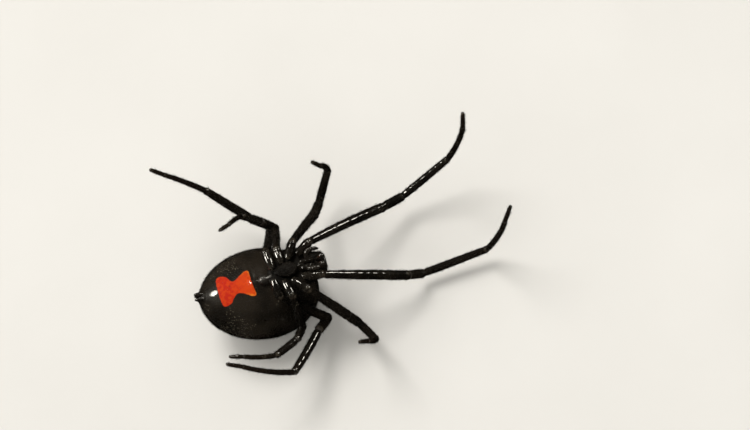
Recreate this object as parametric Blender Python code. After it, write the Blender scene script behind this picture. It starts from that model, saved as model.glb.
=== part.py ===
"""A female black widow spider, life size and still, in the pose of one that hangs from its threads.

Frame: +X runs towards the head, +Y to the spider's own right and +Z out of its belly, so its back is
underneath. z = 0 is the level that the fullest part of its back rests on, and the origin lies under
the middle of the whole model. Sizes and places below are millimetres, measured from a point above the
abdomen's front, straight under the middle of the sternum; finish() turns them into metres.
"""

import math

import bmesh
import bpy
import numpy as np
from mathutils import Vector

MM = 0.001
GAP = 0.12

# The point of the floor under the middle of the model, in the measuring frame.
MIDDLE = (4.744, 0.601)

# Abdomen: an egg whose tail end is tipped up towards the belly side.
ABDOMEN_HALF_LENGTH = 4.35
ABDOMEN_HALF_WIDTH = 3.30
BELLY_DEPTH = 3.13
BACK_DEPTH = 3.43
FRONT_FULLNESS = 0.043
ABDOMEN_PITCH = 21.4
ABDOMEN_YAW = -3.3
ABDOMEN_CENTRE = (-3.57, 0.10, 3.62)
REST_FLAT_DEPTH = 0.16
ABDOMEN_RINGS = 24
ABDOMEN_SIDES = 32

# Red hourglass, let into the belly: its outline seen from above, from its rear right corner round by the
# head. Its rear lobe is broad and rounded, its front lobe has sharp corners, and neither is quite even.
HOURGLASS_OUTLINE = (
    (-5.80, 0.80),
    (-5.76, 1.12),
    (-5.55, 1.24),
    (-5.25, 1.17),
    (-4.95, 1.00),
    (-4.74, 0.70),
    (-4.50, 0.53),
    (-4.24, 0.60),
    (-3.68, 0.98),
    (-3.41, 1.09),
    (-3.25, 0.96),
    (-3.19, 0.35),
    (-3.07, -0.50),
    (-3.08, -0.86),
    (-3.38, -0.86),
    (-3.90, -0.55),
    (-4.35, -0.44),
    (-4.70, -0.72),
    (-4.92, -0.95),
    (-5.25, -1.04),
    (-5.52, -1.03),
    (-5.68, -0.80),
    (-5.75, -0.05),
)
HOURGLASS_DEPTH = 0.45

# Prosoma: stations from the pedicel to the clypeus as (x, half width, depth of back, height of deck).
PROSOMA_LEVEL = 6.65
PROSOMA_STATIONS = (
    (-1.95, 0.25, 0.08, 0.08),
    (-1.65, 0.85, 0.20, 0.22),
    (-1.05, 1.48, 0.46, 0.28),
    (-0.25, 1.75, 0.72, 0.30),
    (0.60, 1.62, 0.84, 0.30),
    (1.30, 1.16, 0.88, 0.28),
    (1.90, 0.92, 0.82, 0.22),
    (2.30, 0.80, 0.62, 0.14),
    (2.50, 0.55, 0.34, 0.08),
)
PROSOMA_RINGS = 16
PROSOMA_SIDES = 24

STERNUM_TOP = 7.60
STERNUM_MIDDLE = -0.25
STERNUM_FRONT = 0.82
STERNUM_REAR = 0.95
STERNUM_HALF_WIDTH = 0.52
STERNUM_TAPER = 0.22
# Share of the outline and depth below the top of each ring of the sternum's low dome.
STERNUM_DOME = ((1.0, 0.15), (0.82, 0.06), (0.45, 0.01))
STERNUM_SIDES = 20

# Mouth: centre and half sizes of each rounded lobe.
MOUTH_LOBES = (
    ("labium", (0.80, 0.0, 7.28), (0.24, 0.20, 0.36)),
    ("maxilla_left", (1.22, -0.23, 7.20), (0.48, 0.19, 0.44)),
    ("maxilla_right", (1.22, 0.23, 7.20), (0.48, 0.19, 0.44)),
    ("mouth_mound", (1.05, 0.0, 6.95), (0.60, 0.40, 0.30)),
)
LOBE_RINGS = 6
LOBE_SIDES = 10

EYE_RADIUS = 0.088
EYE_CLEARANCE = 0.05
EYE_STAND_OUT = 0.02
# Name, station along the prosoma, distance from the midline.
EYES = (
    ("anterior_median", 2.36, 0.16),
    ("anterior_lateral", 2.28, 0.42),
    ("posterior_median", 2.12, 0.20),
    ("posterior_lateral", 2.08, 0.52),
)

PEDICEL_RADIUS = 0.22
PEDICEL_FRONT = (-1.55, 0.0, 6.75)
PEDICEL_REAR = (-2.75, 0.05, 6.20)
COXA_LEVEL = 7.30

# Each leg: where its coxa starts, the trochanter at the coxa's end, and the (length, azimuth, elevation)
# of femur, patella, tibia, metatarsus and tarsus. Azimuth turns from +X towards +Y.
SEGMENTS = ("coxa", "femur", "patella", "tibia", "metatarsus", "tarsus")
LEGS = {
    "leg_right_1": (
        (1.00, 1.08), (1.70, 1.56, 7.20),
        ((6.89, 25, -37.4), (1.70, 23, -25), (5.10, 12, 28), (6.70, -3, 65), (2.18, 22, 72)),
    ),
    "leg_right_2": (
        (0.13, 1.04), (0.53, 1.90, 7.20),
        ((4.74, 67, -50.4), (1.50, 77, -45), (3.00, 45, 39), (3.90, -65, 76), (1.38, -167, 82)),
    ),
    "leg_right_3": (
        (-0.58, 0.87), (-0.71, 1.78, 7.20),
        ((3.66, 100, -46.8), (1.25, 150, 59), (2.10, 166, 64), (2.90, -109, 64), (1.08, -137, 47)),
    ),
    "leg_right_4": (
        (-1.32, 0.62), (-1.52, 1.75, 7.20),
        ((6.18, 97.4, -55.3), (1.80, 153, 53), (4.20, 136, 44), (5.20, 168, 73), (1.68, 171, 75)),
    ),
    "leg_left_1": (
        (1.10, -0.85), (2.10, -1.02, 7.20),
        ((6.82, -5.7, -39.9), (1.70, 19, -60), (5.10, 3, 4), (6.70, -7, 64), (2.18, 18, 61)),
    ),
    "leg_left_2": (
        (0.24, -1.02), (0.95, -1.80, 7.20),
        ((4.73, -44.2, -66.2), (1.50, -44, -69), (3.00, -57, 34), (3.90, -76, 73), (1.38, -135, 72)),
    ),
    "leg_left_3": (
        (-0.54, -0.98), (-0.27, -1.93, 7.25),
        ((3.65, -111.1, -63.3), (1.25, -112, 36), (2.10, -146, 29), (2.90, -175, 53), (1.08, 175, 42)),
    ),
    "leg_left_4": (
        (-1.32, -0.76), (-1.25, -1.64, 7.05),
        ((5.49, -28.1, -66.5), (1.63, -119.8, 43.8), (4.01, -124, 24.1), (5.20, 179, 62), (1.68, 177, 66)),
    ),
}
# Thickness of each pair of legs: radius at the start, middle and end of every segment.
LEG_RADII = {
    "1": ((0.30, 0.30, 0.30), (0.27, 0.34, 0.345), (0.32, 0.33, 0.30),
          (0.27, 0.28, 0.24), (0.22, 0.19, 0.175), (0.16, 0.155, 0.13)),
    "2": ((0.30, 0.30, 0.30), (0.27, 0.32, 0.35), (0.32, 0.34, 0.31),
          (0.28, 0.285, 0.25), (0.22, 0.185, 0.17), (0.16, 0.155, 0.13)),
    "3": ((0.29, 0.30, 0.29), (0.25, 0.28, 0.30), (0.28, 0.29, 0.27),
          (0.26, 0.275, 0.23), (0.19, 0.170, 0.155), (0.15, 0.145, 0.12)),
    "4": ((0.30, 0.30, 0.30), (0.25, 0.32, 0.34), (0.32, 0.34, 0.32),
          (0.30, 0.31, 0.26), (0.22, 0.185, 0.165), (0.155, 0.15, 0.125)),
}
# Share of its length by which a segment bows out on the far side of the bend that the leg makes.
BOWS = {"femur": 0.012, "tibia": 0.012, "metatarsus": 0.028}
THICK_SIDES = 10
THIN_SIDES = 8
TROCHANTER_SWELL = 1.06
CLAW_LENGTH = 0.12
CLAW_HOOK = 0.7
CLAW_TAPER = (0.7, 0.5, 0.25)

# Palps: the ends of femur, patella, tibia and tarsus, and the radius at each end.
PALPS = {
    "palp_right": ((1.32, 0.50, 7.38), (1.54, 0.74, 7.75), (1.78, 0.83, 7.80), (1.98, 0.87, 7.68),
                   (2.28, 0.88, 7.36)),
    "palp_left": ((1.32, -0.34, 7.42), (1.66, -0.55, 7.76), (1.90, -0.61, 7.84), (2.06, -0.61, 7.76),
                  (2.22, -0.58, 7.56)),
}
PALP_RADII = (0.15, 0.16, 0.155, 0.15, 0.09)
PALP_SWELL = 0.01

CHELICERA_START = (1.95, 0.31, 6.70)
CHELICERA_TIP = (2.48, 0.29, 7.32)
CHELICERA_RADII = (0.235, 0.235, 0.18)
CHELICERA_SIDES = 12
FANG_TIP = (2.26, 0.12, 7.60)
FANG_RADII = (0.11, 0.08, 0.04)

# Spinnerets: shift along the belly line and to the side, length and radius of each pair.
SPINNERET_PLACE = 0.27
SPINNERET_MOUND = 0.44
SPINNERET_MOUND_DEPTH = 0.5
SPINNERET_MOUND_RISE = 0.06
SPINNERET_PAIRS = ((0.17, 0.15, 0.46, 0.16), (-0.02, 0.07, 0.34, 0.09), (-0.19, 0.14, 0.42, 0.13))
SPINNERET_TAPER = (1.0, 0.94, 0.55)
# Lean of the fingers towards each other for every millimetre that they stand apart, along and across.
SPINNERET_LEAN = (0.9, 0.35)
COLULUS_AHEAD = 0.38
COLULUS_REACH = 0.1
COLULUS_RADII = (0.10, 0.08, 0.04)

# Share of its radius at which a segment's rounded end carries its outer ring, and that ring's share.
DOME = 0.72
DOME_RING = 0.70
# A segment shorter than this has no extra rows along it.
SHORT_SEGMENT = 2.0
CREASE = 50.0

BLACK = (0.012, 0.011, 0.011)
BROWN_BLACK = (0.030, 0.019, 0.013)
RED = (0.80, 0.065, 0.012)
# How rough each kind of surface is, from 0 for a mirror to 1 for chalk.
ABDOMEN_ROUGHNESS = 0.16
MARK_ROUGHNESS = 0.30
SHELL_ROUGHNESS = 0.22
LEG_ROUGHNESS = 0.20
MOUTHPART_ROUGHNESS = 0.26
EYE_ROUGHNESS = 0.05


def clear_scene():
    """Removes every object that the file opened with."""
    for thing in list(bpy.data.objects):
        bpy.data.objects.remove(thing, do_unlink=True)


def direction(azimuth, elevation):
    """Unit vector of an azimuth and an elevation in degrees."""
    a = math.radians(azimuth)
    e = math.radians(elevation)
    return Vector((math.cos(e) * math.cos(a), math.cos(e) * math.sin(a), math.sin(e)))


def new_object(name, points, faces):
    """Links a mesh object made of points and faces, with its faces turned outwards."""
    mesh = bpy.data.meshes.new(name)
    mesh.from_pydata([tuple(map(float, p)) for p in points], [], faces)
    mesh.validate()
    work = bmesh.new()
    work.from_mesh(mesh)
    bmesh.ops.recalc_face_normals(work, faces=work.faces)
    work.to_mesh(mesh)
    work.free()
    made = bpy.data.objects.new(name, mesh)
    bpy.context.scene.collection.objects.link(made)
    return made


def capped_rings(name, rings, first_pole, last_pole):
    """A closed skin over rings of equally many points, drawn together at a pole past each end."""
    count = len(rings)
    sides = len(rings[0])
    points = [tuple(p) for ring in rings for p in ring] + [tuple(first_pole), tuple(last_pole)]
    first = count * sides
    last = first + 1
    faces = []
    for j in range(sides):
        k = (j + 1) % sides
        faces.append((first, k, j))
        faces.append((last, (count - 1) * sides + j, (count - 1) * sides + k))
        for i in range(count - 1):
            faces.append((i * sides + j, i * sides + k, (i + 1) * sides + k, (i + 1) * sides + j))
    return new_object(name, points, faces)


def boolean(target, tool, operation):
    """Joins, cuts or intersects target with a closed tool, which is then removed."""
    change = target.modifiers.new(operation.lower(), "BOOLEAN")
    change.operation = operation
    change.solver = "EXACT"
    change.object = tool
    apply_modifiers(target)
    bpy.data.objects.remove(tool, do_unlink=True)
    return target


def fuse(base, pieces):
    """Joins closed pieces to base in one union."""
    group = bpy.data.collections.new(base.name + "_pieces")
    bpy.context.scene.collection.children.link(group)
    for piece in pieces:
        group.objects.link(piece)
        bpy.context.scene.collection.objects.unlink(piece)
    change = base.modifiers.new("union", "BOOLEAN")
    change.operation = "UNION"
    change.solver = "EXACT"
    change.operand_type = "COLLECTION"
    change.collection = group
    apply_modifiers(base)
    for piece in pieces:
        bpy.data.objects.remove(piece, do_unlink=True)
    bpy.data.collections.remove(group)
    keep_largest(base)
    return base


def apply_modifiers(thing):
    """Writes an object's evaluated mesh back into it."""
    graph = bpy.context.evaluated_depsgraph_get()
    mesh = bpy.data.meshes.new_from_object(thing.evaluated_get(graph))
    thing.modifiers.clear()
    old = thing.data
    thing.data = mesh
    bpy.data.meshes.remove(old)


def keep_largest(thing):
    """Drops every closed surface of an object but the largest."""
    work = bmesh.new()
    work.from_mesh(thing.data)
    left = set(work.faces)
    shells = []
    while left:
        stack = [left.pop()]
        shell = list(stack)
        while stack:
            face = stack.pop()
            for edge in face.edges:
                for other in edge.link_faces:
                    if other in left:
                        left.remove(other)
                        stack.append(other)
                        shell.append(other)
        shells.append(shell)
    shells.sort(key=lambda shell: sum(f.calc_area() for f in shell))
    spare = [face for shell in shells[:-1] for face in shell]
    bmesh.ops.delete(work, geom=spare, context="FACES")
    work.to_mesh(thing.data)
    work.free()


def limb(name, start, end, radii, sides, turn=0.0, bow=None):
    """A round segment with domed ends; radii are those at its start, middle and end.

    bow is how far its middle stands off the straight line, as a vector.
    """
    start = Vector(start)
    end = Vector(end)
    bow = Vector((0.0, 0.0, 0.0)) if bow is None else bow
    along = (end - start).normalized()
    across = along.orthogonal().normalized()
    other = along.cross(across)
    first, middle, last = radii
    shares = (0.0, 0.5, 1.0) if (end - start).length < SHORT_SEGMENT else (0.0, 0.3, 0.7, 1.0)
    rows = [(start - along * DOME * first, DOME_RING * first)]
    for share in shares:
        if share < 0.5:
            radius = first + (middle - first) * 2.0 * share
        else:
            radius = middle + (last - middle) * (2.0 * share - 1.0)
        rows.append((start.lerp(end, share) + bow * (4.0 * share * (1.0 - share)), radius))
    rows.append((end + along * DOME * last, DOME_RING * last))
    angles = [math.tau * (j + turn) / sides for j in range(sides)]
    rings = [
        [centre + (across * math.cos(a) + other * math.sin(a)) * radius for a in angles]
        for centre, radius in rows
    ]
    return capped_rings(name, rings, start - along * first, end + along * last)


def ellipsoid(name, centre, half_sizes, rings, sides):
    """An egg-round closed form with its long way along X."""
    made = []
    for i in range(1, rings):
        u = math.pi * i / rings
        ring = []
        for j in range(sides):
            v = math.tau * j / sides
            ring.append((
                centre[0] - half_sizes[0] * math.cos(u),
                centre[1] + half_sizes[1] * math.sin(u) * math.cos(v),
                centre[2] + half_sizes[2] * math.sin(u) * math.sin(v),
            ))
        made.append(ring)
    near = (centre[0] - half_sizes[0], centre[1], centre[2])
    far = (centre[0] + half_sizes[0], centre[1], centre[2])
    return capped_rings(name, made, near, far)


def abdomen_point(u, v, grow=0.0):
    """Point of the abdomen at u from the tail (0) to the front (pi) and v round it (0 right, pi / 2 belly).

    The egg's radius is sin u, a little fuller towards the front. It is then tipped, turned and placed.
    """
    fullness = math.sin(u) * (1.0 - FRONT_FULLNESS * math.cos(u))
    depth = BELLY_DEPTH if math.sin(v) > 0.0 else BACK_DEPTH
    x = -(ABDOMEN_HALF_LENGTH + grow) * math.cos(u)
    y = (ABDOMEN_HALF_WIDTH + grow) * fullness * math.cos(v)
    z = (depth + grow) * fullness * math.sin(v)
    pitch = math.radians(ABDOMEN_PITCH)
    yaw = math.radians(ABDOMEN_YAW)
    level_x = math.cos(pitch) * x + math.sin(pitch) * z
    level_z = math.cos(pitch) * z - math.sin(pitch) * x
    return Vector((
        ABDOMEN_CENTRE[0] + math.cos(yaw) * level_x - math.sin(yaw) * y,
        ABDOMEN_CENTRE[1] + math.sin(yaw) * level_x + math.cos(yaw) * y,
        ABDOMEN_CENTRE[2] + level_z - REST_FLAT_DEPTH,
    ))


def abdomen_form(name, grow=0.0):
    """The abdomen as a closed form, flat at z = 0 where its back rests; grow makes it larger or smaller."""
    rings = []
    for i in range(1, ABDOMEN_RINGS):
        u = math.pi * i / ABDOMEN_RINGS
        ring = [abdomen_point(u, math.tau * j / ABDOMEN_SIDES, grow) for j in range(ABDOMEN_SIDES)]
        rings.append([Vector((p.x, p.y, max(p.z, 0.0))) for p in ring])
    tail = abdomen_point(0.0, 0.0, grow)
    front = abdomen_point(math.pi, 0.0, grow)
    return capped_rings(name, rings, tail, front)


def hourglass_prism(name, margin):
    """An upright block with the mark's outline, drawn out by margin on every side.

    Each corner moves out along the line that halves its two sides' directions, so that both sides move
    by margin.
    """
    corners = [Vector(corner) for corner in HOURGLASS_OUTLINE]
    count = len(corners)
    outline = []
    for i, corner in enumerate(corners):
        before = (corner - corners[i - 1]).normalized()
        after = (corners[(i + 1) % count] - corner).normalized()
        out = Vector((-before.y - after.y, before.x + after.x))
        outline.append(corner + out * (margin / (1.0 + before.dot(after))))
    low = ABDOMEN_CENTRE[2]
    high = low + 2.0 * BELLY_DEPTH
    points = [(p.x, p.y, low) for p in outline] + [(p.x, p.y, high) for p in outline]
    faces = [tuple(range(count))[::-1], tuple(range(count, 2 * count))]
    faces += [(i, (i + 1) % count, count + (i + 1) % count, count + i) for i in range(count)]
    return new_object(name, points, faces)


def build_abdomen():
    """The abdomen with the pocket that the hourglass sits in, and the hourglass itself."""
    abdomen = abdomen_form("abdomen")
    pocket = boolean(hourglass_prism("pocket", GAP), abdomen_form("core", -HOURGLASS_DEPTH), "DIFFERENCE")
    boolean(abdomen, pocket, "DIFFERENCE")
    keep_largest(abdomen)
    mark = boolean(hourglass_prism("hourglass", 0.0), abdomen_form("outer"), "INTERSECT")
    boolean(mark, abdomen_form("inner", GAP - HOURGLASS_DEPTH), "DIFFERENCE")
    keep_largest(mark)
    dress(abdomen, BLACK, ABDOMEN_ROUGHNESS)
    dress(mark, RED, MARK_ROUGHNESS)
    return [abdomen, mark]


def build_spinnerets():
    """A low mound at the tail with three pairs of finger-like spinnerets, and a small cone before them."""
    middle = abdomen_point(SPINNERET_PLACE, math.pi / 2.0)
    ahead = (abdomen_point(SPINNERET_PLACE + 0.05, math.pi / 2.0) - middle).normalized()
    side = Vector((0.0, 1.0, 0.0))
    outward = ahead.cross(side).normalized()
    if outward.z < 0.0:
        outward = -outward
    root = middle - outward * SPINNERET_MOUND_DEPTH
    crown = middle + outward * SPINNERET_MOUND_RISE
    mound_radii = (SPINNERET_MOUND, SPINNERET_MOUND, 0.8 * SPINNERET_MOUND)
    mound = limb("spinnerets", root, crown, mound_radii, 14)
    fingers = []
    for shift, apart, length, radius in SPINNERET_PAIRS:
        for sign in (-1.0, 1.0):
            foot = crown + ahead * shift + side * (sign * apart)
            lean = outward - ahead * (SPINNERET_LEAN[0] * shift) - side * (sign * SPINNERET_LEAN[1] * apart)
            tip = foot + lean.normalized() * length
            radii = tuple(share * radius for share in SPINNERET_TAPER)
            fingers.append(limb("finger", foot, tip, radii, THIN_SIDES, 0.3))
    foot = crown + ahead * COLULUS_AHEAD
    reach = outward * COLULUS_REACH
    fingers.append(limb("colulus", foot - reach, foot + reach, COLULUS_RADII, 6))
    fuse(mound, fingers)
    boolean(mound, abdomen_form("seat", GAP), "DIFFERENCE")
    keep_largest(mound)
    dress(mound, BROWN_BLACK, MOUTHPART_ROUGHNESS)
    return [mound]


def station(x):
    """Half width, back depth and deck height of the prosoma at x, along a smooth curve."""
    rows = PROSOMA_STATIONS
    i = 0
    while i < len(rows) - 2 and x > rows[i + 1][0]:
        i += 1
    before = rows[max(i - 1, 0)]
    near = rows[i]
    far = rows[i + 1]
    after = rows[min(i + 2, len(rows) - 1)]
    t = (x - near[0]) / (far[0] - near[0])
    span = far[0] - near[0]
    sizes = []
    for k in (1, 2, 3):
        slope_near = span * (far[k] - before[k]) / (far[0] - before[0])
        slope_far = span * (after[k] - near[k]) / (after[0] - near[0])
        value = (2 * t ** 3 - 3 * t ** 2 + 1) * near[k] + (t ** 3 - 2 * t ** 2 + t) * slope_near
        value += (3 * t ** 2 - 2 * t ** 3) * far[k] + (t ** 3 - t ** 2) * slope_far
        sizes.append(value)
    return sizes


def prosoma_point(x, v, grow=0.0):
    """Point of the prosoma at station x and angle v round it (0 right, pi / 2 deck, -pi / 2 back)."""
    half_width, back, deck = station(x)
    height = deck if math.sin(v) > 0.0 else back
    return Vector((
        x,
        (half_width + grow) * math.cos(v),
        PROSOMA_LEVEL + (height + grow) * math.sin(v),
    ))


def prosoma_form(name, grow=0.0):
    """The carapace and the deck under the coxae as one closed form."""
    rear = PROSOMA_STATIONS[0][0]
    front = PROSOMA_STATIONS[-1][0]
    rings = []
    for i in range(PROSOMA_RINGS + 1):
        x = rear + (front - rear) * 0.5 * (1.0 - math.cos(math.pi * i / PROSOMA_RINGS))
        rings.append([prosoma_point(x, math.tau * j / PROSOMA_SIDES, grow) for j in range(PROSOMA_SIDES)])
    for ring, shift in ((rings[0], -grow), (rings[-1], grow)):
        for p in ring:
            p.x += shift
    tail = Vector((rear - 0.06 - grow, 0.0, PROSOMA_LEVEL))
    nose = Vector((front + 0.06 + grow, 0.0, PROSOMA_LEVEL))
    return capped_rings(name, rings, tail, nose)


def sternum_form(name, grow=0.0):
    """Shield-shaped plate between the coxae, broad in front and narrow behind, with a low dome on top."""
    rings = []
    dome = [(share, STERNUM_TOP - drop) for share, drop in STERNUM_DOME]
    for share, level in [(1.0, PROSOMA_LEVEL)] + dome:
        ring = []
        for j in range(STERNUM_SIDES):
            a = math.tau * j / STERNUM_SIDES
            reach = STERNUM_FRONT if math.cos(a) > 0.0 else STERNUM_REAR
            half = STERNUM_HALF_WIDTH * (1.0 + STERNUM_TAPER * math.cos(a))
            ring.append((
                STERNUM_MIDDLE + (reach + grow) * share * math.cos(a),
                (half + grow) * share * math.sin(a),
                level,
            ))
        rings.append(ring)
    low = (STERNUM_MIDDLE, 0.0, PROSOMA_LEVEL)
    high = (STERNUM_MIDDLE, 0.0, STERNUM_TOP)
    return capped_rings(name, rings, low, high)


def eye_centres():
    """Name and centre of each of the eight eyes, set on the front of the carapace in two rows."""
    centres = []
    for name, x, apart in EYES:
        half_width = station(x)[0]
        for side, sign in (("left", -1.0), ("right", 1.0)):
            v = -math.acos(sign * apart / half_width)
            on_skin = prosoma_point(x, v)
            out = (on_skin - Vector((x - 0.5, 0.0, PROSOMA_LEVEL))).normalized()
            centres.append((f"eye_{name}_{side}", on_skin + out * EYE_STAND_OUT))
    return centres


def mouth_forms(grow=0.0):
    """Labium, the two maxillae and the low mound that they stand on."""
    return [
        ellipsoid(name, centre, tuple(half + grow for half in half_sizes), LOBE_RINGS, LOBE_SIDES)
        for name, centre, half_sizes in MOUTH_LOBES
    ]


def seat_on_prosoma(thing):
    """Cuts the root of an object so that it meets the prosoma face to face across the gap."""
    boolean(thing, prosoma_form("seat", GAP), "DIFFERENCE")
    keep_largest(thing)


def build_prosoma():
    """Carapace, sternum, labium and maxillae fused in one node, with a shallow socket for each eye."""
    prosoma = prosoma_form("prosoma")
    fuse(prosoma, [sternum_form("sternum")] + mouth_forms())
    balls = []
    for name, centre in eye_centres():
        reach = EYE_RADIUS + EYE_CLEARANCE
        boolean(prosoma, ellipsoid("socket", centre, (reach, reach, reach), 6, 10), "DIFFERENCE")
        ball = ellipsoid(name, centre, (EYE_RADIUS, EYE_RADIUS, EYE_RADIUS), 6, 8)
        dress(ball, BLACK, EYE_ROUGHNESS)
        balls.append(ball)
    keep_largest(prosoma)
    dress(prosoma, BLACK, SHELL_ROUGHNESS)
    return [prosoma] + balls


def build_pedicel():
    """The short waist between prosoma and abdomen, cut to the shape of both."""
    pedicel = limb("pedicel", PEDICEL_FRONT, PEDICEL_REAR, (PEDICEL_RADIUS,) * 3, 12)
    seat_on_prosoma(pedicel)
    boolean(pedicel, abdomen_form("rear_seat", GAP), "DIFFERENCE")
    keep_largest(pedicel)
    dress(pedicel, BROWN_BLACK, MOUTHPART_ROUGHNESS)
    return [pedicel]


def leg_joints(coxa_start, trochanter, segments):
    """The seven joints of a leg, from the start of its coxa to the tip of its tarsus."""
    joints = [Vector((*coxa_start, COXA_LEVEL)), Vector(trochanter)]
    for length, azimuth, elevation in segments:
        joints.append(joints[-1] + direction(azimuth, elevation) * length)
    return joints


def bow_of(joints, i, share):
    """How far segment i bows out, away from the hollow side of the bend between its two neighbours."""
    axis = (joints[i + 1] - joints[i]).normalized()
    before = (joints[i] - joints[i - 1]).normalized()
    after = (joints[i + 2] - joints[i + 1]).normalized()
    out = before - after
    out = out - axis * out.dot(axis)
    return out.normalized() * (share * (joints[i + 1] - joints[i]).length)


def build_leg(name, coxa_start, trochanter, segments):
    """One leg from coxa to claws, its segments fused at the joints and its root cut to the prosoma."""
    radii = LEG_RADII[name[-1]]
    joints = leg_joints(coxa_start, trochanter, segments)
    pieces = []
    for i, part in enumerate(SEGMENTS):
        sides = THIN_SIDES if part in ("metatarsus", "tarsus") else THICK_SIDES
        bow = bow_of(joints, i, BOWS[part]) if part in BOWS else None
        pieces.append(limb(f"{name}_{part}", joints[i], joints[i + 1], radii[i], sides, 0.25 * (i % 2), bow))
    reach = (joints[-1] - joints[-2]).normalized()
    inward = direction(segments[-1][1], segments[-1][2] - 90.0)
    hook = (reach + CLAW_HOOK * inward).normalized()
    claw_radii = tuple(share * radii[-1][2] for share in CLAW_TAPER)
    pieces.append(limb("claw", joints[-1], joints[-1] + hook * CLAW_LENGTH, claw_radii, 6))
    knob_radius = TROCHANTER_SWELL * radii[0][2]
    pieces.append(ellipsoid("trochanter", joints[1], (knob_radius,) * 3, 6, THICK_SIDES))
    leg = pieces.pop(0)
    leg.name = name
    fuse(leg, pieces)
    seat_on_prosoma(leg)
    dress(leg, BLACK, LEG_ROUGHNESS)
    return leg


def build_palp(name, joints):
    """One palp, from the maxilla's outer side forwards to its tapered tarsus."""
    pieces = []
    for i in range(len(joints) - 1):
        near, far = PALP_RADII[i:i + 2]
        radii = (near, 0.5 * (near + far) + PALP_SWELL, far)
        pieces.append(limb(f"{name}_{i}", joints[i], joints[i + 1], radii, THIN_SIDES, 0.25 * (i % 2)))
    palp = pieces.pop(0)
    palp.name = name
    fuse(palp, pieces)
    for form in mouth_forms(GAP):
        boolean(palp, form, "DIFFERENCE")
    seat_on_prosoma(palp)
    dress(palp, BROWN_BLACK, MOUTHPART_ROUGHNESS)
    return palp


def build_chelicera(side, sign):
    """One chelicera with its fang, its root cut to the front of the head."""
    start = (CHELICERA_START[0], sign * CHELICERA_START[1], CHELICERA_START[2])
    tip = (CHELICERA_TIP[0], sign * CHELICERA_TIP[1], CHELICERA_TIP[2])
    fang_tip = (FANG_TIP[0], sign * FANG_TIP[1], FANG_TIP[2])
    chelicera = limb(f"chelicera_{side}", start, tip, CHELICERA_RADII, CHELICERA_SIDES)
    fuse(chelicera, [limb("fang", tip, fang_tip, FANG_RADII, THIN_SIDES, 0.3)])
    seat_on_prosoma(chelicera)
    dress(chelicera, BROWN_BLACK, MOUTHPART_ROUGHNESS)
    return chelicera


def dress(thing, colour, roughness):
    """Gives an object a material of its own and smooth shading with crisp folds."""
    finish_of = bpy.data.materials.new(thing.name + "_finish")
    finish_of.use_nodes = True
    shader = finish_of.node_tree.nodes["Principled BSDF"]
    shader.inputs["Base Color"].default_value = (*colour, 1.0)
    shader.inputs["Roughness"].default_value = roughness
    shader.inputs["Metallic"].default_value = 0.0
    thing.data.materials.clear()
    thing.data.materials.append(finish_of)
    thing.data.shade_smooth()
    thing.data.set_sharp_from_angle(angle=math.radians(CREASE))


def finish(things):
    """Moves the model over the origin and turns its millimetres into metres."""
    root = bpy.data.objects.new("spider", None)
    bpy.context.scene.collection.objects.link(root)
    for thing in things:
        points = np.empty(len(thing.data.vertices) * 3, np.float32)
        thing.data.vertices.foreach_get("co", points)
        points = points.reshape(-1, 3)
        points[:, 0] -= MIDDLE[0]
        points[:, 1] -= MIDDLE[1]
        thing.data.vertices.foreach_set("co", (points * MM).ravel())
        thing.data.update()
        thing.data.name = thing.name
        thing.parent = root


def main():
    """Builds the spider from its abdomen forwards."""
    clear_scene()
    things = build_abdomen() + build_spinnerets() + build_pedicel() + build_prosoma()
    for name, (coxa_start, trochanter, segments) in LEGS.items():
        things.append(build_leg(name, coxa_start, trochanter, segments))
    for name, joints in PALPS.items():
        things.append(build_palp(name, joints))
    for side, sign in (("left", -1.0), ("right", 1.0)):
        things.append(build_chelicera(side, sign))
    finish(things)


main()
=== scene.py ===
"""Looks of a life-size female black widow that lies on its back with its legs held up, built on its solids.

Places and sizes are millimetres in the measuring frame of the solids: +X runs towards the head, +Y to the
spider's own right and +Z out of its belly. as_piece() moves them over the origin and turns them into metres.
"""

from __future__ import annotations

import logging
import math
from dataclasses import dataclass, field
from enum import Enum

import bpy
import numpy as np
from mathutils import Matrix


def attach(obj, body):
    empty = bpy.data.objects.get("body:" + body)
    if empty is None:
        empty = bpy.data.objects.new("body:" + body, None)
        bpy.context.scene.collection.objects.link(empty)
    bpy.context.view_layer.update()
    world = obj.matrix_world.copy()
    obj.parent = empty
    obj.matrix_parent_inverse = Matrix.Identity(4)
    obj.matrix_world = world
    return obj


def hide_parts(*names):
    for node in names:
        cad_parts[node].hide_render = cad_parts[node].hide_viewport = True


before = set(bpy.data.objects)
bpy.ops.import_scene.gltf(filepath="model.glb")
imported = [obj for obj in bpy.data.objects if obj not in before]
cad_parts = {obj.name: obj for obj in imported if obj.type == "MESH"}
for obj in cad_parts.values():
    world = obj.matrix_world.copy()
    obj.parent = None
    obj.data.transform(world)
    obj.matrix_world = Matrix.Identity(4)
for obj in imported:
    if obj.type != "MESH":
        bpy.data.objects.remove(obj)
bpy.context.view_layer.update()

log = logging.getLogger("widow")

MM = 0.001
MIDDLE = np.array((4.744, 0.601, 0.0))
UP = np.array((0.0, 0.0, 1.0))

# Linear colours that more than one finish may show: pale specks, partly settled dust and partly painted
# glints; joints lightened partly by rubbing and partly as painted highlight; and the flecks of the mark.
DUST_AND_GLINT_COLOUR = (0.24, 0.21, 0.15, 1.0)
WORN_AND_GLINT_COLOUR = (0.060, 0.050, 0.036, 1.0)
FLECK_COLOUR = (0.11, 0.012, 0.004, 1.0)

# A claw or a fang turns by this much along its arc.
HOOK_TURN = math.radians(75.0)
# Height at which every coxa starts, and how far it reaches on from there towards the sternum.
COXA_HEIGHT = 7.30
HIP_REACH = 0.26

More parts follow.
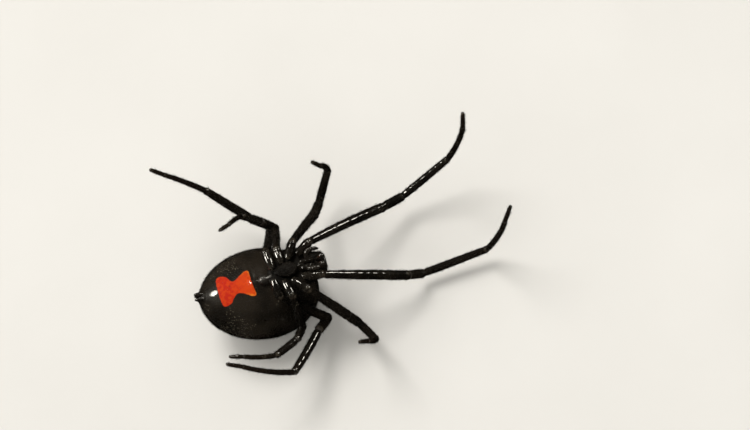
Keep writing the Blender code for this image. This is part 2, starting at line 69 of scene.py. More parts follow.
# Outline of the red mark seen from above the belly, from its rear right corner round by the head.
MARK_OUTLINE = (
    (-5.80, 0.80), (-5.76, 1.12), (-5.55, 1.24), (-5.25, 1.17), (-4.95, 1.00), (-4.74, 0.70),
    (-4.50, 0.53), (-4.24, 0.60), (-3.68, 0.98), (-3.41, 1.09), (-3.25, 0.96), (-3.19, 0.35),
    (-3.07, -0.50), (-3.08, -0.86), (-3.38, -0.86), (-3.90, -0.55), (-4.35, -0.44), (-4.70, -0.72),
    (-4.92, -0.95), (-5.25, -1.04), (-5.52, -1.03), (-5.68, -0.80), (-5.75, -0.05),
)


class Part(Enum):
    """The parts of a leg that are limbs of their own, from the body outwards."""

    COXA = "coxa"
    FEMUR = "femur"
    PATELLA = "patella"
    TIBIA = "tibia"
    METATARSUS = "metatarsus"
    TARSUS = "tarsus"


class Side(Enum):
    """The spider's own two sides, with the sign of Y on each."""

    LEFT = -1.0
    RIGHT = 1.0


def unit(vectors: np.ndarray) -> np.ndarray:
    """Vectors, along the last axis, brought to length one."""
    return vectors / np.maximum(np.linalg.norm(vectors, axis=-1, keepdims=True), 1e-12)


def turn_to(azimuth: float, elevation: float) -> np.ndarray:
    """Unit vector of an azimuth, from +X towards +Y, and an elevation, both in degrees."""
    a, e = math.radians(azimuth), math.radians(elevation)
    return np.array((math.cos(e) * math.cos(a), math.cos(e) * math.sin(a), math.sin(e)))


def across_of(axis: np.ndarray) -> tuple[np.ndarray, np.ndarray]:
    """Two unit vectors square to an axis and to each other, in the order that turns about the axis."""
    helper = UP if abs(axis[2]) < 0.9 else np.array((1.0, 0.0, 0.0))
    across = unit(np.cross(helper, axis))
    return across, np.cross(axis, across)


def bell(distance: np.ndarray, width: float) -> np.ndarray:
    """A bell curve, one at no distance and 0.37 at one width."""
    return np.exp(-((distance / width) ** 2))


def ripple(points: np.ndarray, size: float) -> np.ndarray:
    """Gentle unevenness between -1 and 1: three crossed sine waves over space, each about size across."""
    x, y, z = (points[..., i] * (math.tau / size) for i in range(3))
    waves = np.sin(x + 1.7 * np.sin(0.61 * y)) + np.sin(1.13 * y + 1.3 * np.sin(0.77 * z) + 2.1)
    return (waves + np.sin(0.87 * z + 1.9 * np.sin(0.53 * x) + 4.2)) / 3.0


@dataclass
class Skin:
    """A surface in millimetres: points, faces with the number of their finish, and values at the points."""

    points: np.ndarray
    faces: list[tuple[np.ndarray, int]]
    values: dict[str, np.ndarray] = field(default_factory=dict)
    uv: np.ndarray | None = None

    @staticmethod
    def joined(skins: list[Skin]) -> Skin:
        """One surface made of several, with a value that some lack set to nought there.

        Args:
            skins: The surfaces, in order.

        Returns:
            The joined surface.
        """
        starts = np.cumsum([0] + [len(s.points) for s in skins])
        faces = [(f + start, kind) for s, start in zip(skins, starts) for f, kind in s.faces]
        names = sorted({name for s in skins for name in s.values})
        values = {
            name: np.concatenate([s.values.get(name, np.zeros(len(s.points))) for s in skins])
            for name in names
        }
        uv = np.concatenate([s.uv for s in skins]) if all(s.uv is not None for s in skins) else None
        return Skin(np.concatenate([s.points for s in skins]), faces, values, uv)

    @staticmethod
    def round_grid(grid: np.ndarray, poles: np.ndarray, kind: int = 0, **values: np.ndarray) -> Skin:
        """A closed surface over a grid that runs round an axis, drawn to a pole past each end.

        Args:
            grid: Points as rows along the axis by places round it.
            poles: The two poles, before the first row and after the last.
            kind: Number of the finish of its faces.
            values: Named values for every grid point, one array of rows by places each.

        Returns:
            The surface, its faces outwards where the places turn about the axis.
        """
        rows, sides = grid.shape[:2]
        places = np.arange(rows * sides).reshape(rows, sides)
        after = np.roll(places, -1, axis=1)
        quads = np.stack([places[:-1], after[:-1], after[1:], places[1:]], -1).reshape(-1, 4)
        first, last = np.full(sides, rows * sides), np.full(sides, rows * sides + 1)
        near = np.stack([first, after[0], places[0]], -1)
        far = np.stack([last, places[-1], after[-1]], -1)
        kept = {k: np.concatenate([v.ravel(), [v[0].mean(), v[-1].mean()]]) for k, v in values.items()}
        points = np.concatenate([grid.reshape(-1, 3), poles])
        return Skin(points, [(quads, kind), (np.concatenate([near, far]), kind)], kept)

    def as_piece(self, name: str, finishes: list[bpy.types.Material]) -> bpy.types.Object:
        """Writes the surface into a smooth mesh object that rides on the model.

        Args:
            name: Name of the piece.
            finishes: Materials, in the order of the faces' finish numbers.

        Returns:
            The new object, at the origin, its place in its mesh.
        """
        mesh = bpy.data.meshes.new(name)
        corners = np.concatenate([f.ravel() for f, _ in self.faces]).astype(np.int32)
        totals = np.concatenate([np.full(len(f), f.shape[1]) for f, _ in self.faces])
        kinds = np.concatenate([np.full(len(f), kind) for f, kind in self.faces]).astype(np.int32)
        mesh.vertices.add(len(self.points))
        mesh.vertices.foreach_set("co", ((self.points - MIDDLE) * MM).astype(np.float32).ravel())
        mesh.loops.add(len(corners))
        mesh.loops.foreach_set("vertex_index", corners)
        mesh.polygons.add(len(totals))
        mesh.polygons.foreach_set("loop_start", np.concatenate([[0], np.cumsum(totals)[:-1]]).astype(np.int32))
        mesh.polygons.foreach_set("material_index", kinds)
        for key, value in self.values.items():
            mesh.attributes.new(key, "FLOAT", "POINT").data.foreach_set("value", value.astype(np.float32))
        if self.uv is not None:
            layer = mesh.uv_layers.new(name="OFBake")
            layer.data.foreach_set("uv", self.uv[corners].astype(np.float32).ravel())
        for finish in finishes:
            mesh.materials.append(finish)
        mesh.update(calc_edges=True)
        mesh.validate()
        mesh.shade_smooth()
        made = bpy.data.objects.new(name, mesh)
        bpy.context.scene.collection.objects.link(made)
        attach(made, "root")
        log.info("%s: %d points, %d faces", name, len(mesh.vertices), len(mesh.polygons))
        return made


@dataclass(frozen=True)
class Limb:
    """A round segment between two joints: a radius that changes along a slightly bowed line.

    The radius is a parabola through its values at the start, the middle and the end, times a neck, which
    is a bell that narrows the start, and a lip, which is a small ring just before the far end.
    """

    start: np.ndarray
    end: np.ndarray
    radii: tuple[float, float, float]
    bow: np.ndarray = field(default_factory=lambda: np.zeros(3))
    neck: float = 0.0
    neck_width: float = 0.25
    lip: float = 0.0
    cap: float = 0.6
    uneven: float = 0.0

    @property
    def length(self) -> float:
        """Distance between its two joints."""
        return float(np.linalg.norm(self.end - self.start))

    @property
    def axis(self) -> np.ndarray:
        """Unit vector from its first joint to its second."""
        return unit(self.end - self.start)

    def radius(self, share: np.ndarray) -> np.ndarray:
        """Radius at a share of the length, as the class's text says."""
        first, middle, last = self.radii
        value = first * (1 - share) * (1 - 2 * share) + 4 * middle * share * (1 - share)
        value = value + last * share * (2 * share - 1)
        along = share * self.length
        value = value * (1 - self.neck * bell(along, self.neck_width))
        return value * (1 + self.lip * bell(along - self.length + 0.10, 0.05))

    def surface(self, share: np.ndarray, angle: np.ndarray) -> tuple[np.ndarray, np.ndarray]:
        """Points of the side of the segment, and the directions out of it.

        Args:
            share: Share of the length, from 0 to 1.
            angle: Angle round the axis.

        Returns:
            The centre line plus the radius times the direction at the angle, and that direction.
        """
        across, other = across_of(self.axis)
        out = np.cos(angle)[..., None] * across + np.sin(angle)[..., None] * other
        centre = self.start + share[..., None] * (self.end - self.start)
        centre = centre + (4 * share * (1 - share))[..., None] * self.bow
        flat = centre + self.radius(share)[..., None] * out
        return flat + (self.uneven * ripple(flat, 0.55))[..., None] * out, out

    def skin(self, sides: int, rows: int, kind: int = 0, shares: tuple[float, float] = (0.0, 1.0)) -> Skin:
        """The segment as a closed surface with quarter-round ends.

        Args:
            sides: Points round it.
            rows: Rows along its side, closer together at both ends.
            kind: Number of the finish of its faces.
            shares: Shares of the whole limb at its two ends, for the colour's run along it.

        Returns:
            The surface, with "share" along the whole limb and "joint", which is one at its ends.
        """
        along = 0.5 - 0.5 * np.cos(np.linspace(0.0, math.pi, rows))
        angles = np.linspace(0.0, math.tau, sides, endpoint=False)
        share, angle = np.meshgrid(along, angles, indexing="ij")
        side, _ = self.surface(share, angle)
        bend = np.linspace(0.0, math.pi / 2, 6)[1:-1]
        near_centre, far_centre = side[0].mean(0), side[-1].mean(0)
        near_reach, far_reach = (self.cap * float(self.radius(np.array(s))) for s in (0.0, 1.0))
        swell, rise = np.sin(bend)[:, None, None], np.cos(bend)[:, None, None]
        near = near_centre + (side[0] - near_centre) * swell - self.axis * near_reach * rise
        far = far_centre + (side[-1] - far_centre) * swell[::-1] + self.axis * far_reach * rise[::-1]
        grid = np.concatenate([near, side, far])
        poles = np.stack([near_centre - self.axis * near_reach, far_centre + self.axis * far_reach])
        along = np.concatenate([np.zeros(len(bend)), along, np.ones(len(bend))])
        whole = np.repeat((shares[0] + (shares[1] - shares[0]) * along)[:, None], sides, 1)
        ends = np.minimum(along, 1 - along) * self.length
        joint = np.repeat(bell(ends, 0.17)[:, None], sides, 1)
        return Skin.round_grid(grid, poles, kind, share=whole, joint=joint)


def hooked(root: np.ndarray, way: np.ndarray, curl: np.ndarray, length: float, radius: float, kind: int,
           sides: int = 8, rows: int = 12) -> Skin:
    """A curved cone, as a claw or a fang is: a circle carried along an arc, its radius falling to the tip.

    Args:
        root: Middle of its root.
        way: Unit vector in which it sets out.
        curl: Unit vector towards which it turns, square to way.
        length: Length along the arc.
        radius: Radius at the root.
        kind: Number of the finish of its faces.
        sides: Points round it.
        rows: Rows along it.

    Returns:
        The closed surface.
    """
    share = np.linspace(0.0, 1.0, rows)
    swing = share * HOOK_TURN
    bend = length / HOOK_TURN
    centres = root + bend * (np.sin(swing)[:, None] * way + (1 - np.cos(swing))[:, None] * curl)
    inward = np.cos(swing)[:, None] * curl - np.sin(swing)[:, None] * way
    level = np.cross(way, curl)
    angles = np.linspace(0.0, math.tau, sides, endpoint=False)
    out = np.cos(angles)[None, :, None] * inward[:, None] + np.sin(angles)[None, :, None] * (-level)
    thick = radius * np.sqrt(1 - 0.985 * share)
    grid = centres[:, None] + thick[:, None, None] * out
    axis = np.cross(inward, np.broadcast_to(-level, inward.shape))
    poles = np.stack([centres[0] - 0.3 * radius * axis[0], centres[-1] + 0.3 * thick[-1] * axis[-1]])
    return Skin.round_grid(grid, poles, kind)


def tufts(roots: np.ndarray, out: np.ndarray, lean: np.ndarray, lengths: np.ndarray, radius: float,
          uv: np.ndarray) -> Skin:
    """Short tapered hairs as closed three-sided spikes of two rows and a point, bent towards lean.

    Args:
        roots: Where each one stands.
        out: Unit vector out of the skin there.
        lean: Unit vector that the hair bends towards, along the skin.
        lengths: Length of each one.
        radius: Radius at the roots.
        uv: Place of each root on the unwrapped skin, from 0 to 1.

    Returns:
        The hairs as one surface, each with its own small patch of the map.
    """
    count = len(roots)
    way = unit(out + 0.9 * lean)
    tip_way = unit(out + 2.2 * lean)
    side = unit(np.cross(way, out + 1e-6))
    level = np.cross(side, way)
    angles = np.arange(3) * math.tau / 3
    ring = np.cos(angles)[None, :, None] * side[:, None] + np.sin(angles)[None, :, None] * level[:, None]
    foot = roots - 0.02 * out
    middle = roots + way * (0.55 * lengths)[:, None]
    tip = middle + tip_way * (0.45 * lengths)[:, None]
    points = np.concatenate([
        foot[:, None] + radius * ring,
        middle[:, None] + 0.62 * radius * ring,
        tip[:, None],
    ], axis=1).reshape(-1, 3)
    start = (7 * np.arange(count))[:, None]
    base = np.array([[0, 2, 1], [3, 4, 6], [4, 5, 6], [5, 3, 6]])
    walls = np.array([[0, 1, 4, 3], [1, 2, 5, 4], [2, 0, 3, 5]])
    spread = 0.003 * np.array([[0, 0], [1, 0], [.5, .5], [0, .5], [1, .5], [.5, 1], [.5, .8]])
    patches = (0.004 + 0.99 * uv[:, None] + spread[None]).reshape(-1, 2)
    faces = [((start[:, None] + part[None]).reshape(-1, part.shape[1]), 0) for part in (base, walls)]
    return Skin(points, faces, {}, patches)


class Wires:
    """Places the nodes of one node tree and joins them."""

    def __init__(self, tree: bpy.types.NodeTree) -> None:
        """Keeps the tree."""
        self.tree = tree

    def node(self, kind: str, inputs: dict | None = None, **settings: object) -> bpy.types.Node:
        """Adds a node, sets its options, and joins or sets its inputs.

        Args:
            kind: Blender's name of the node.
            inputs: Values or sockets by input name or number.
            settings: Options of the node.

        Returns:
            The node.
        """
        made = self.tree.nodes.new(kind)
        for name, value in settings.items():
            setattr(made, name, value)
        for key, value in (inputs or {}).items():
            self.feed(made.inputs[key], value)
        return made

    def feed(self, socket: bpy.types.NodeSocket, value: object) -> None:
        """Joins a socket to another, or sets its value."""
        if isinstance(value, bpy.types.NodeSocket):
            self.tree.links.new(value, socket)
        else:
            socket.default_value = value

    def group(self, tree: bpy.types.NodeTree, **given: object) -> bpy.types.NodeSocket:
        """The one output of a node group, whose inputs are given by name."""
        made = self.node("ShaderNodeGroup", node_tree=tree)
        for name, value in given.items():
            self.feed(made.inputs[name], value)
        return made.outputs[0]

    def maths(self, operation: str, *terms: object) -> bpy.types.NodeSocket:
        """The result of a Math node on numbers or sockets."""
        return self.node("ShaderNodeMath", dict(enumerate(terms)), operation=operation).outputs[0]

    def ramp(self, value: object, low: float, high: float, to_low: float = 0.0,
             to_high: float = 1.0) -> bpy.types.NodeSocket:
        """A smooth step of a value from low to high, as to_low to to_high."""
        inputs = {"Value": value, "From Min": low, "From Max": high, "To Min": to_low, "To Max": to_high}
        return self.node("ShaderNodeMapRange", inputs, interpolation_type="SMOOTHSTEP").outputs["Result"]

    def mix(self, share: object, first: object, second: object) -> bpy.types.NodeSocket:
        """A mixed colour."""
        made = self.node("ShaderNodeMix", data_type="RGBA")
        for socket, value in zip((made.inputs[0], made.inputs[6], made.inputs[7]), (share, first, second)):
            self.feed(socket, value)
        return made.outputs[2]

    def noise(self, place: object, scale: object, detail: float = 3.0) -> bpy.types.NodeSocket:
        """The grey value of a Noise node."""
        inputs = {"Vector": place, "Scale": scale, "Detail": detail}
        return self.node("ShaderNodeTexNoise", inputs).outputs[0]

    def value_of(self, name: str) -> bpy.types.NodeSocket:
        """A value that the mesh carries at its points."""
        return self.node("ShaderNodeAttribute", attribute_name=name).outputs["Fac"]


def new_group(name: str, inputs: dict[str, tuple[str, object]], output: str) -> tuple:
    """A shader node group with named inputs and one number as its output.

    Args:
        name: Name of the group.
        inputs: Socket type and default value by input name.
        output: Name of the output.

    Returns:
        The group, its Wires, the node of its inputs, and the function that joins its output.
    """
    group = bpy.data.node_groups.new(name, "ShaderNodeTree")
    for key, (kind, value) in inputs.items():
        socket = group.interface.new_socket(key, in_out="INPUT", socket_type=kind)
        if value is not None:
            socket.default_value = value
    group.interface.new_socket(output, in_out="OUTPUT", socket_type="NodeSocketFloat")
    wires = Wires(group)
    entry = group.nodes.new("NodeGroupInput")
    leave = group.nodes.new("NodeGroupOutput")
    return group, wires, entry.outputs, lambda socket: group.links.new(socket, leave.inputs[output])


PLACE = ("NodeSocketVector", None)


@dataclass
class Effects:
    """The node groups that more than one finish uses."""

    grain: bpy.types.NodeTree
    drift: bpy.types.NodeTree
    dust_and_glints: bpy.types.NodeTree

    @staticmethod
    def build() -> Effects:
        """Builds each group once."""
        return Effects(Effects.build_grain(), Effects.build_drift(), Effects.build_dust_and_glints())

    @staticmethod
    def build_grain() -> bpy.types.NodeTree:
        """Fine relief of cuticle: shallow rounded cells mixed with smaller noise."""
        group, wires, given, give = new_group(
            "cuticle_grain", {"Place": PLACE, "Scale": ("NodeSocketFloat", 6.0), "Cells": ("NodeSocketFloat", 0.5)},
            "Height")
        cells = wires.node("ShaderNodeTexVoronoi", {"Vector": given["Place"], "Scale": given["Scale"]},
                           feature="SMOOTH_F1").outputs["Distance"]
        fine = wires.noise(given["Place"], wires.maths("MULTIPLY", given["Scale"], 2.7), 4.0)
        rest = wires.maths("SUBTRACT", 1.0, given["Cells"])
        rounded = wires.maths("MULTIPLY", wires.maths("MULTIPLY", cells, cells), given["Cells"])
        give(wires.maths("ADD", rounded, wires.maths("MULTIPLY", fine, rest)))
        return group

    @staticmethod
    def build_drift() -> bpy.types.NodeTree:
        """Slow change over the surface: broad noise, spread to the full range from 0 to 1."""
        group, wires, given, give = new_group(
            "slow_drift", {"Place": PLACE, "Scale": ("NodeSocketFloat", 0.5)}, "Share")
        give(wires.ramp(wires.noise(given["Place"], given["Scale"], 3.0), 0.33, 0.67))
        return group

    @staticmethod
    def build_dust_and_glints() -> bpy.types.NodeTree:
        """Pale specks, partly dust and partly painted glints: hearts of small cells kept where broad noise is high."""
        group, wires, given, give = new_group(
            "dust_and_glint_specks", {"Place": PLACE, "Scale": ("NodeSocketFloat", 5.0), "Amount": ("NodeSocketFloat", 0.5)},
            "Mask")
        cells = wires.node("ShaderNodeTexVoronoi", {"Vector": given["Place"], "Scale": given["Scale"]})
        heart = wires.ramp(cells.outputs["Distance"], 0.34, 0.12)
        patch = wires.noise(given["Place"], 0.8, 2.0)
        bound = wires.maths("SUBTRACT", 0.80, wires.maths("MULTIPLY", given["Amount"], 0.45))
        kept = wires.maths("GREATER_THAN", patch, bound)
        give(wires.maths("MULTIPLY", heart, kept))
        return group


@dataclass(frozen=True)
class Cuticle:
    """Hard shell of a spider: dark, with fine relief, slow change of tone, pale specks and a clear outer layer.
    The specks are partly dust and partly painted glints.

    The base layer is nearly dull, and gloss is its own sheen. The sharp glints come from the clear layer: coat
    is its weight, coat_rough its roughness, and patchy the share of it that is missing here and there.
    """

    name: str
    dark: tuple[float, float, float]
    light: tuple[float, float, float]
    rough: tuple[float, float] = (0.16, 0.30)
    grain_scale: float = 7.0
    grain_depth: float = 0.010
    dust_and_glints: float = 0.35
    coat: float = 0.0
    gloss: float = 0.5
    tail: tuple[float, float, float] | None = None
    speck_scale: float = 8.5
    patchy: float = 0.0
    coat_rough: float = 0.08

    def place(self, wires: Wires) -> bpy.types.NodeSocket:
        """The object's own coordinates in millimetres."""
        own = wires.node("ShaderNodeTexCoord").outputs["Object"]
        return wires.node("ShaderNodeVectorMath", {0: own, "Scale": 1.0 / MM}, operation="SCALE").outputs[0]

    def colour(self, wires: Wires, place: bpy.types.NodeSocket, effects: Effects) -> bpy.types.NodeSocket:
        """Dark to light by slow drift; on a limb with a tail colour also that colour, and paler joints: wear and
        painted highlight.
        """
        drift = wires.group(effects.drift, Place=place)
        base = wires.mix(drift, (*self.dark, 1.0), (*self.light, 1.0))
        if self.tail is not None:
            base = wires.mix(wires.ramp(wires.value_of("share"), 0.45, 1.0), base, (*self.tail, 1.0))
            # Paler patches at the joints: partly rubbed cuticle, partly painted highlight on the knees.
            patch = wires.ramp(wires.noise(place, 4.0, 3.0), 0.45, 0.62)
            worn_and_glint = wires.maths("MULTIPLY", wires.maths("MULTIPLY", wires.value_of("joint"), patch), 0.6)
            base = wires.mix(worn_and_glint, base, WORN_AND_GLINT_COLOUR)
        return base

    def roughness(self, wires: Wires, place: bpy.types.NodeSocket) -> bpy.types.NodeSocket:
        """Roughness of the base layer, which changes with noise a quarter of a millimetre across."""
        return wires.ramp(wires.noise(place, 3.6, 4.0), 0.3, 0.7, self.rough[0], self.rough[1])

    def speckle(self, wires: Wires) -> object:
        """How many pale specks it carries: partly dust, partly painted glints."""
        return self.dust_and_glints

    def polish(self, wires: Wires, place: bpy.types.NodeSocket) -> object:
        """Weight of the clear outer layer, thinner here and there where it is patchy."""
        if not self.patchy:
            return self.coat
        return wires.ramp(wires.noise(place, 5.5, 3.0), 0.32, 0.50, self.coat * (1 - self.patchy), self.coat)

    def build(self, effects: Effects) -> bpy.types.Material:
        """Makes the material.

        Args:
            effects: The shared node groups.

        Returns:
            The material, all of its detail from nodes.
        """
        made = bpy.data.materials.new(self.name)
        made.use_nodes = True
        wires = Wires(made.node_tree)
        shader = made.node_tree.nodes["Principled BSDF"]
        place = self.place(wires)
        specks = wires.group(effects.dust_and_glints, Place=place, Scale=self.speck_scale, Amount=self.speckle(wires))
        # Pale specks in the colour: partly settled dust, partly painted glints.
        mask = wires.maths("MULTIPLY", specks, 0.6)
        colour = wires.mix(mask, self.colour(wires, place, effects), DUST_AND_GLINT_COLOUR)
        wires.feed(shader.inputs["Base Color"], colour)
        rough = wires.maths("ADD", self.roughness(wires, place), wires.maths("MULTIPLY", mask, 0.1))
        wires.feed(shader.inputs["Roughness"], rough)
        grain = wires.group(effects.grain, Place=place, Scale=self.grain_scale)
        height = wires.maths("ADD", grain, wires.maths("MULTIPLY", mask, 0.5))
        bump = wires.node("ShaderNodeBump", {"Height": height, "Distance": self.grain_depth * MM, "Strength": 1.0})
        wires.feed(shader.inputs["Normal"], bump.outputs[0])
        wires.feed(shader.inputs["Coat Weight"], self.polish(wires, place))
        shader.inputs["Coat Roughness"].default_value = self.coat_rough
        shader.inputs["Specular IOR Level"].default_value = self.gloss
        return made


@dataclass(frozen=True)
class MarkedCuticle(Cuticle):
    """Cuticle of the belly with the red mark: red behind, orange in front, mottled, yellow at two of its tips."""

    red: tuple[float, float, float] = (0.44, 0.013, 0.001)
    orange: tuple[float, float, float] = (0.58, 0.050, 0.003)
    rim: tuple[float, float, float] = (0.70, 0.23, 0.02)

    def colour(self, wires: Wires, place: bpy.types.NodeSocket, effects: Effects) -> bpy.types.NodeSocket:
        """The plain cuticle's colour outside the mark, and the mark's own inside its slightly ragged edge."""
        plain = Cuticle.colour(self, wires, place, effects)
        depth = wires.value_of("mark")
        ragged = wires.maths("MULTIPLY", wires.maths("SUBTRACT", wires.noise(place, 5.0, 3.0), 0.5), 0.10)
        inside = wires.ramp(wires.maths("ADD", depth, ragged), -0.025, 0.03)
        forward = wires.ramp(wires.value_of("forward"), -5.0, -3.3)
        mottle = wires.ramp(wires.noise(place, 3.6, 5.0), 0.40, 0.62)
        fleck = wires.maths("MULTIPLY", wires.ramp(wires.noise(place, 7.0, 2.0), 0.68, 0.76), 0.5)
        fleck = wires.maths("MAXIMUM", fleck, wires.maths("MULTIPLY", wires.value_of("pit"), 0.85))
        body = wires.mix(wires.maths("MULTIPLY", forward, 0.85), (*self.red, 1.0), (*self.orange, 1.0))
        body = wires.mix(wires.maths("MULTIPLY", mottle, 0.60), body, (*self.orange, 1.0))
        body = wires.mix(fleck, body, FLECK_COLOUR)
        tips = wires.maths("MULTIPLY", wires.value_of("tips"), wires.ramp(wires.noise(place, 4.0, 2.0), 0.3, 0.6))
        edge = wires.maths("MULTIPLY", wires.ramp(depth, 0.22, 0.0), tips)
        return wires.mix(inside, plain, wires.mix(edge, body, (*self.rim, 1.0)))

    def roughness(self, wires: Wires, place: bpy.types.NodeSocket) -> bpy.types.NodeSocket:
        """The plain cuticle's, and duller inside the mark."""
        inside = wires.ramp(wires.value_of("mark"), -0.02, 0.04)
        return wires.maths("ADD", Cuticle.roughness(self, wires, place), wires.maths("MULTIPLY", inside, 0.26))

    def speckle(self, wires: Wires) -> bpy.types.NodeSocket:
        """Few specks of dust, many in the flank zones, where they also paint the glints of hair sockets; none on the
        mark.
        """
        more = wires.maths("ADD", wires.maths("MULTIPLY", wires.value_of("flank"), 0.9), self.dust_and_glints)
        return wires.maths("SUBTRACT", more, wires.ramp(wires.value_of("mark"), -0.10, -0.02, 0.0, 3.0))

    def polish(self, wires: Wires, place: bpy.types.NodeSocket) -> bpy.types.NodeSocket:
        """A clear layer at a few smooth places of the belly, and on the flanks and the back."""
        return wires.maths("MULTIPLY", wires.value_of("polish"), self.coat)


@dataclass
class Wardrobe:
    """Every finish of the spider, built once."""

    belly: bpy.types.Material
    shell: bpy.types.Material
    sternum: bpy.types.Material
    leg: bpy.types.Material
    mouth: bpy.types.Material
    membrane: bpy.types.Material
    claw: bpy.types.Material
    eye: bpy.types.Material
    waist: bpy.types.Material
    silk: bpy.types.Material
    hair: bpy.types.Material
    down: bpy.types.Material

    @staticmethod
    def build() -> Wardrobe:
        """Builds the node groups and then the finishes."""
        effects = Effects.build()
        black, soot = (0.0075, 0.0058, 0.0038), (0.020, 0.015, 0.010)
        jet, pitch = (0.0036, 0.0029, 0.0021), (0.010, 0.0078, 0.0054)
        kinds = dict(
            belly=MarkedCuticle("belly_cuticle", black, soot, (0.34, 0.48), 6.5, 0.022, 0.35, coat=1.0, gloss=0.08,
                                speck_scale=7.0),
            shell=Cuticle("shell_cuticle", jet, pitch, (0.24, 0.40), 6.0, 0.020, 0.3, coat=0.8, gloss=0.10,
                          patchy=0.5, coat_rough=0.10),
            sternum=Cuticle("sternum_cuticle", (0.0040, 0.0034, 0.0025), (0.009, 0.007, 0.005), (0.34, 0.55), 7.0,
                            0.030, 0.3, gloss=0.04),
            leg=Cuticle("leg_cuticle", jet, pitch, (0.30, 0.50), 7.0, 0.014, 0.3, coat=1.0, gloss=0.03,
                        tail=(0.016, 0.011, 0.007), patchy=0.55),
            mouth=Cuticle("mouthpart_cuticle", (0.0055, 0.0046, 0.0035), (0.016, 0.0122, 0.0085), (0.26, 0.42), 7.0,
                          0.014, 0.3, coat=1.0, gloss=0.22, coat_rough=0.10),
            waist=Cuticle("waist_cuticle", black, soot, (0.36, 0.50), 9.0, 0.045, 0.3, coat=0.35, gloss=0.60,
                          coat_rough=0.24),
            silk=Cuticle("spinneret_cuticle", (0.008, 0.006, 0.004), (0.026, 0.019, 0.013), (0.20, 0.30), 9.0,
                         0.014, 0.2, coat=1.0, gloss=0.50, coat_rough=0.16),
            membrane=Cuticle("joint_membrane", (0.012, 0.010, 0.008), (0.045, 0.036, 0.028), (0.30, 0.50), 10.0,
                             0.020, 0.3),
            claw=Cuticle("claw_horn", (0.012, 0.006, 0.004), (0.040, 0.015, 0.007), (0.12, 0.24), 12.0, 0.004, 0.1),
            eye=Cuticle("eye_lens", (0.004, 0.003, 0.003), (0.012, 0.008, 0.005), (0.03, 0.06), 20.0, 0.0006, 0.0,
                        coat=1.0),
            hair=Cuticle("bristle", (0.006, 0.005, 0.004), (0.024, 0.018, 0.012), (0.30, 0.45), 20.0, 0.002, 0.0,
                         gloss=0.20),
            down=Cuticle("belly_down", (0.008, 0.007, 0.006), (0.036, 0.032, 0.025), (0.26, 0.40), 20.0, 0.002, 0.0,
                         gloss=0.35),
        )
        return Wardrobe(**{key: kind.build(effects) for key, kind in kinds.items()})


@dataclass(frozen=True)
class Coat:
    """How thickly a skin is haired: hairs a square millimetre, their length and their thickness."""

    density: float
    shortest: float
    longest: float
    radius: float
    seed: int

    def on_limbs(self, limbs: list[Limb], first: float = 1.0) -> Skin:
        """Hairs on the sides of a row of segments, leaning towards the tip.

        Args:
            limbs: The segments, from the body outwards.
            first: How thickly the first segment is haired, as a share of the others.

        Returns:
            The hairs, their map one strip for each segment.
        """
        rng = np.random.default_rng(self.seed)
        parts = []
        for i, limb in enumerate(limbs):
            count = int(self.density * math.tau * limb.radii[1] * limb.length * (first if i == 0 else 1.0))
            share, angle = rng.uniform(0.03, 0.98, count), rng.uniform(0.0, math.tau, count)
            roots, out = limb.surface(share, angle)
            turn = rng.normal(0.0, 0.30, count)[:, None] * np.cross(limb.axis, out)
            lengths = self.shortest + (self.longest - self.shortest) * rng.uniform(0.0, 1.0, count) ** 2
            uv = np.stack([(i + share) / len(limbs), angle / math.tau], -1)
            parts.append(tufts(roots, out, 1.6 * unit(limb.axis + turn), lengths, self.radius, uv))
        return Skin.joined(parts)


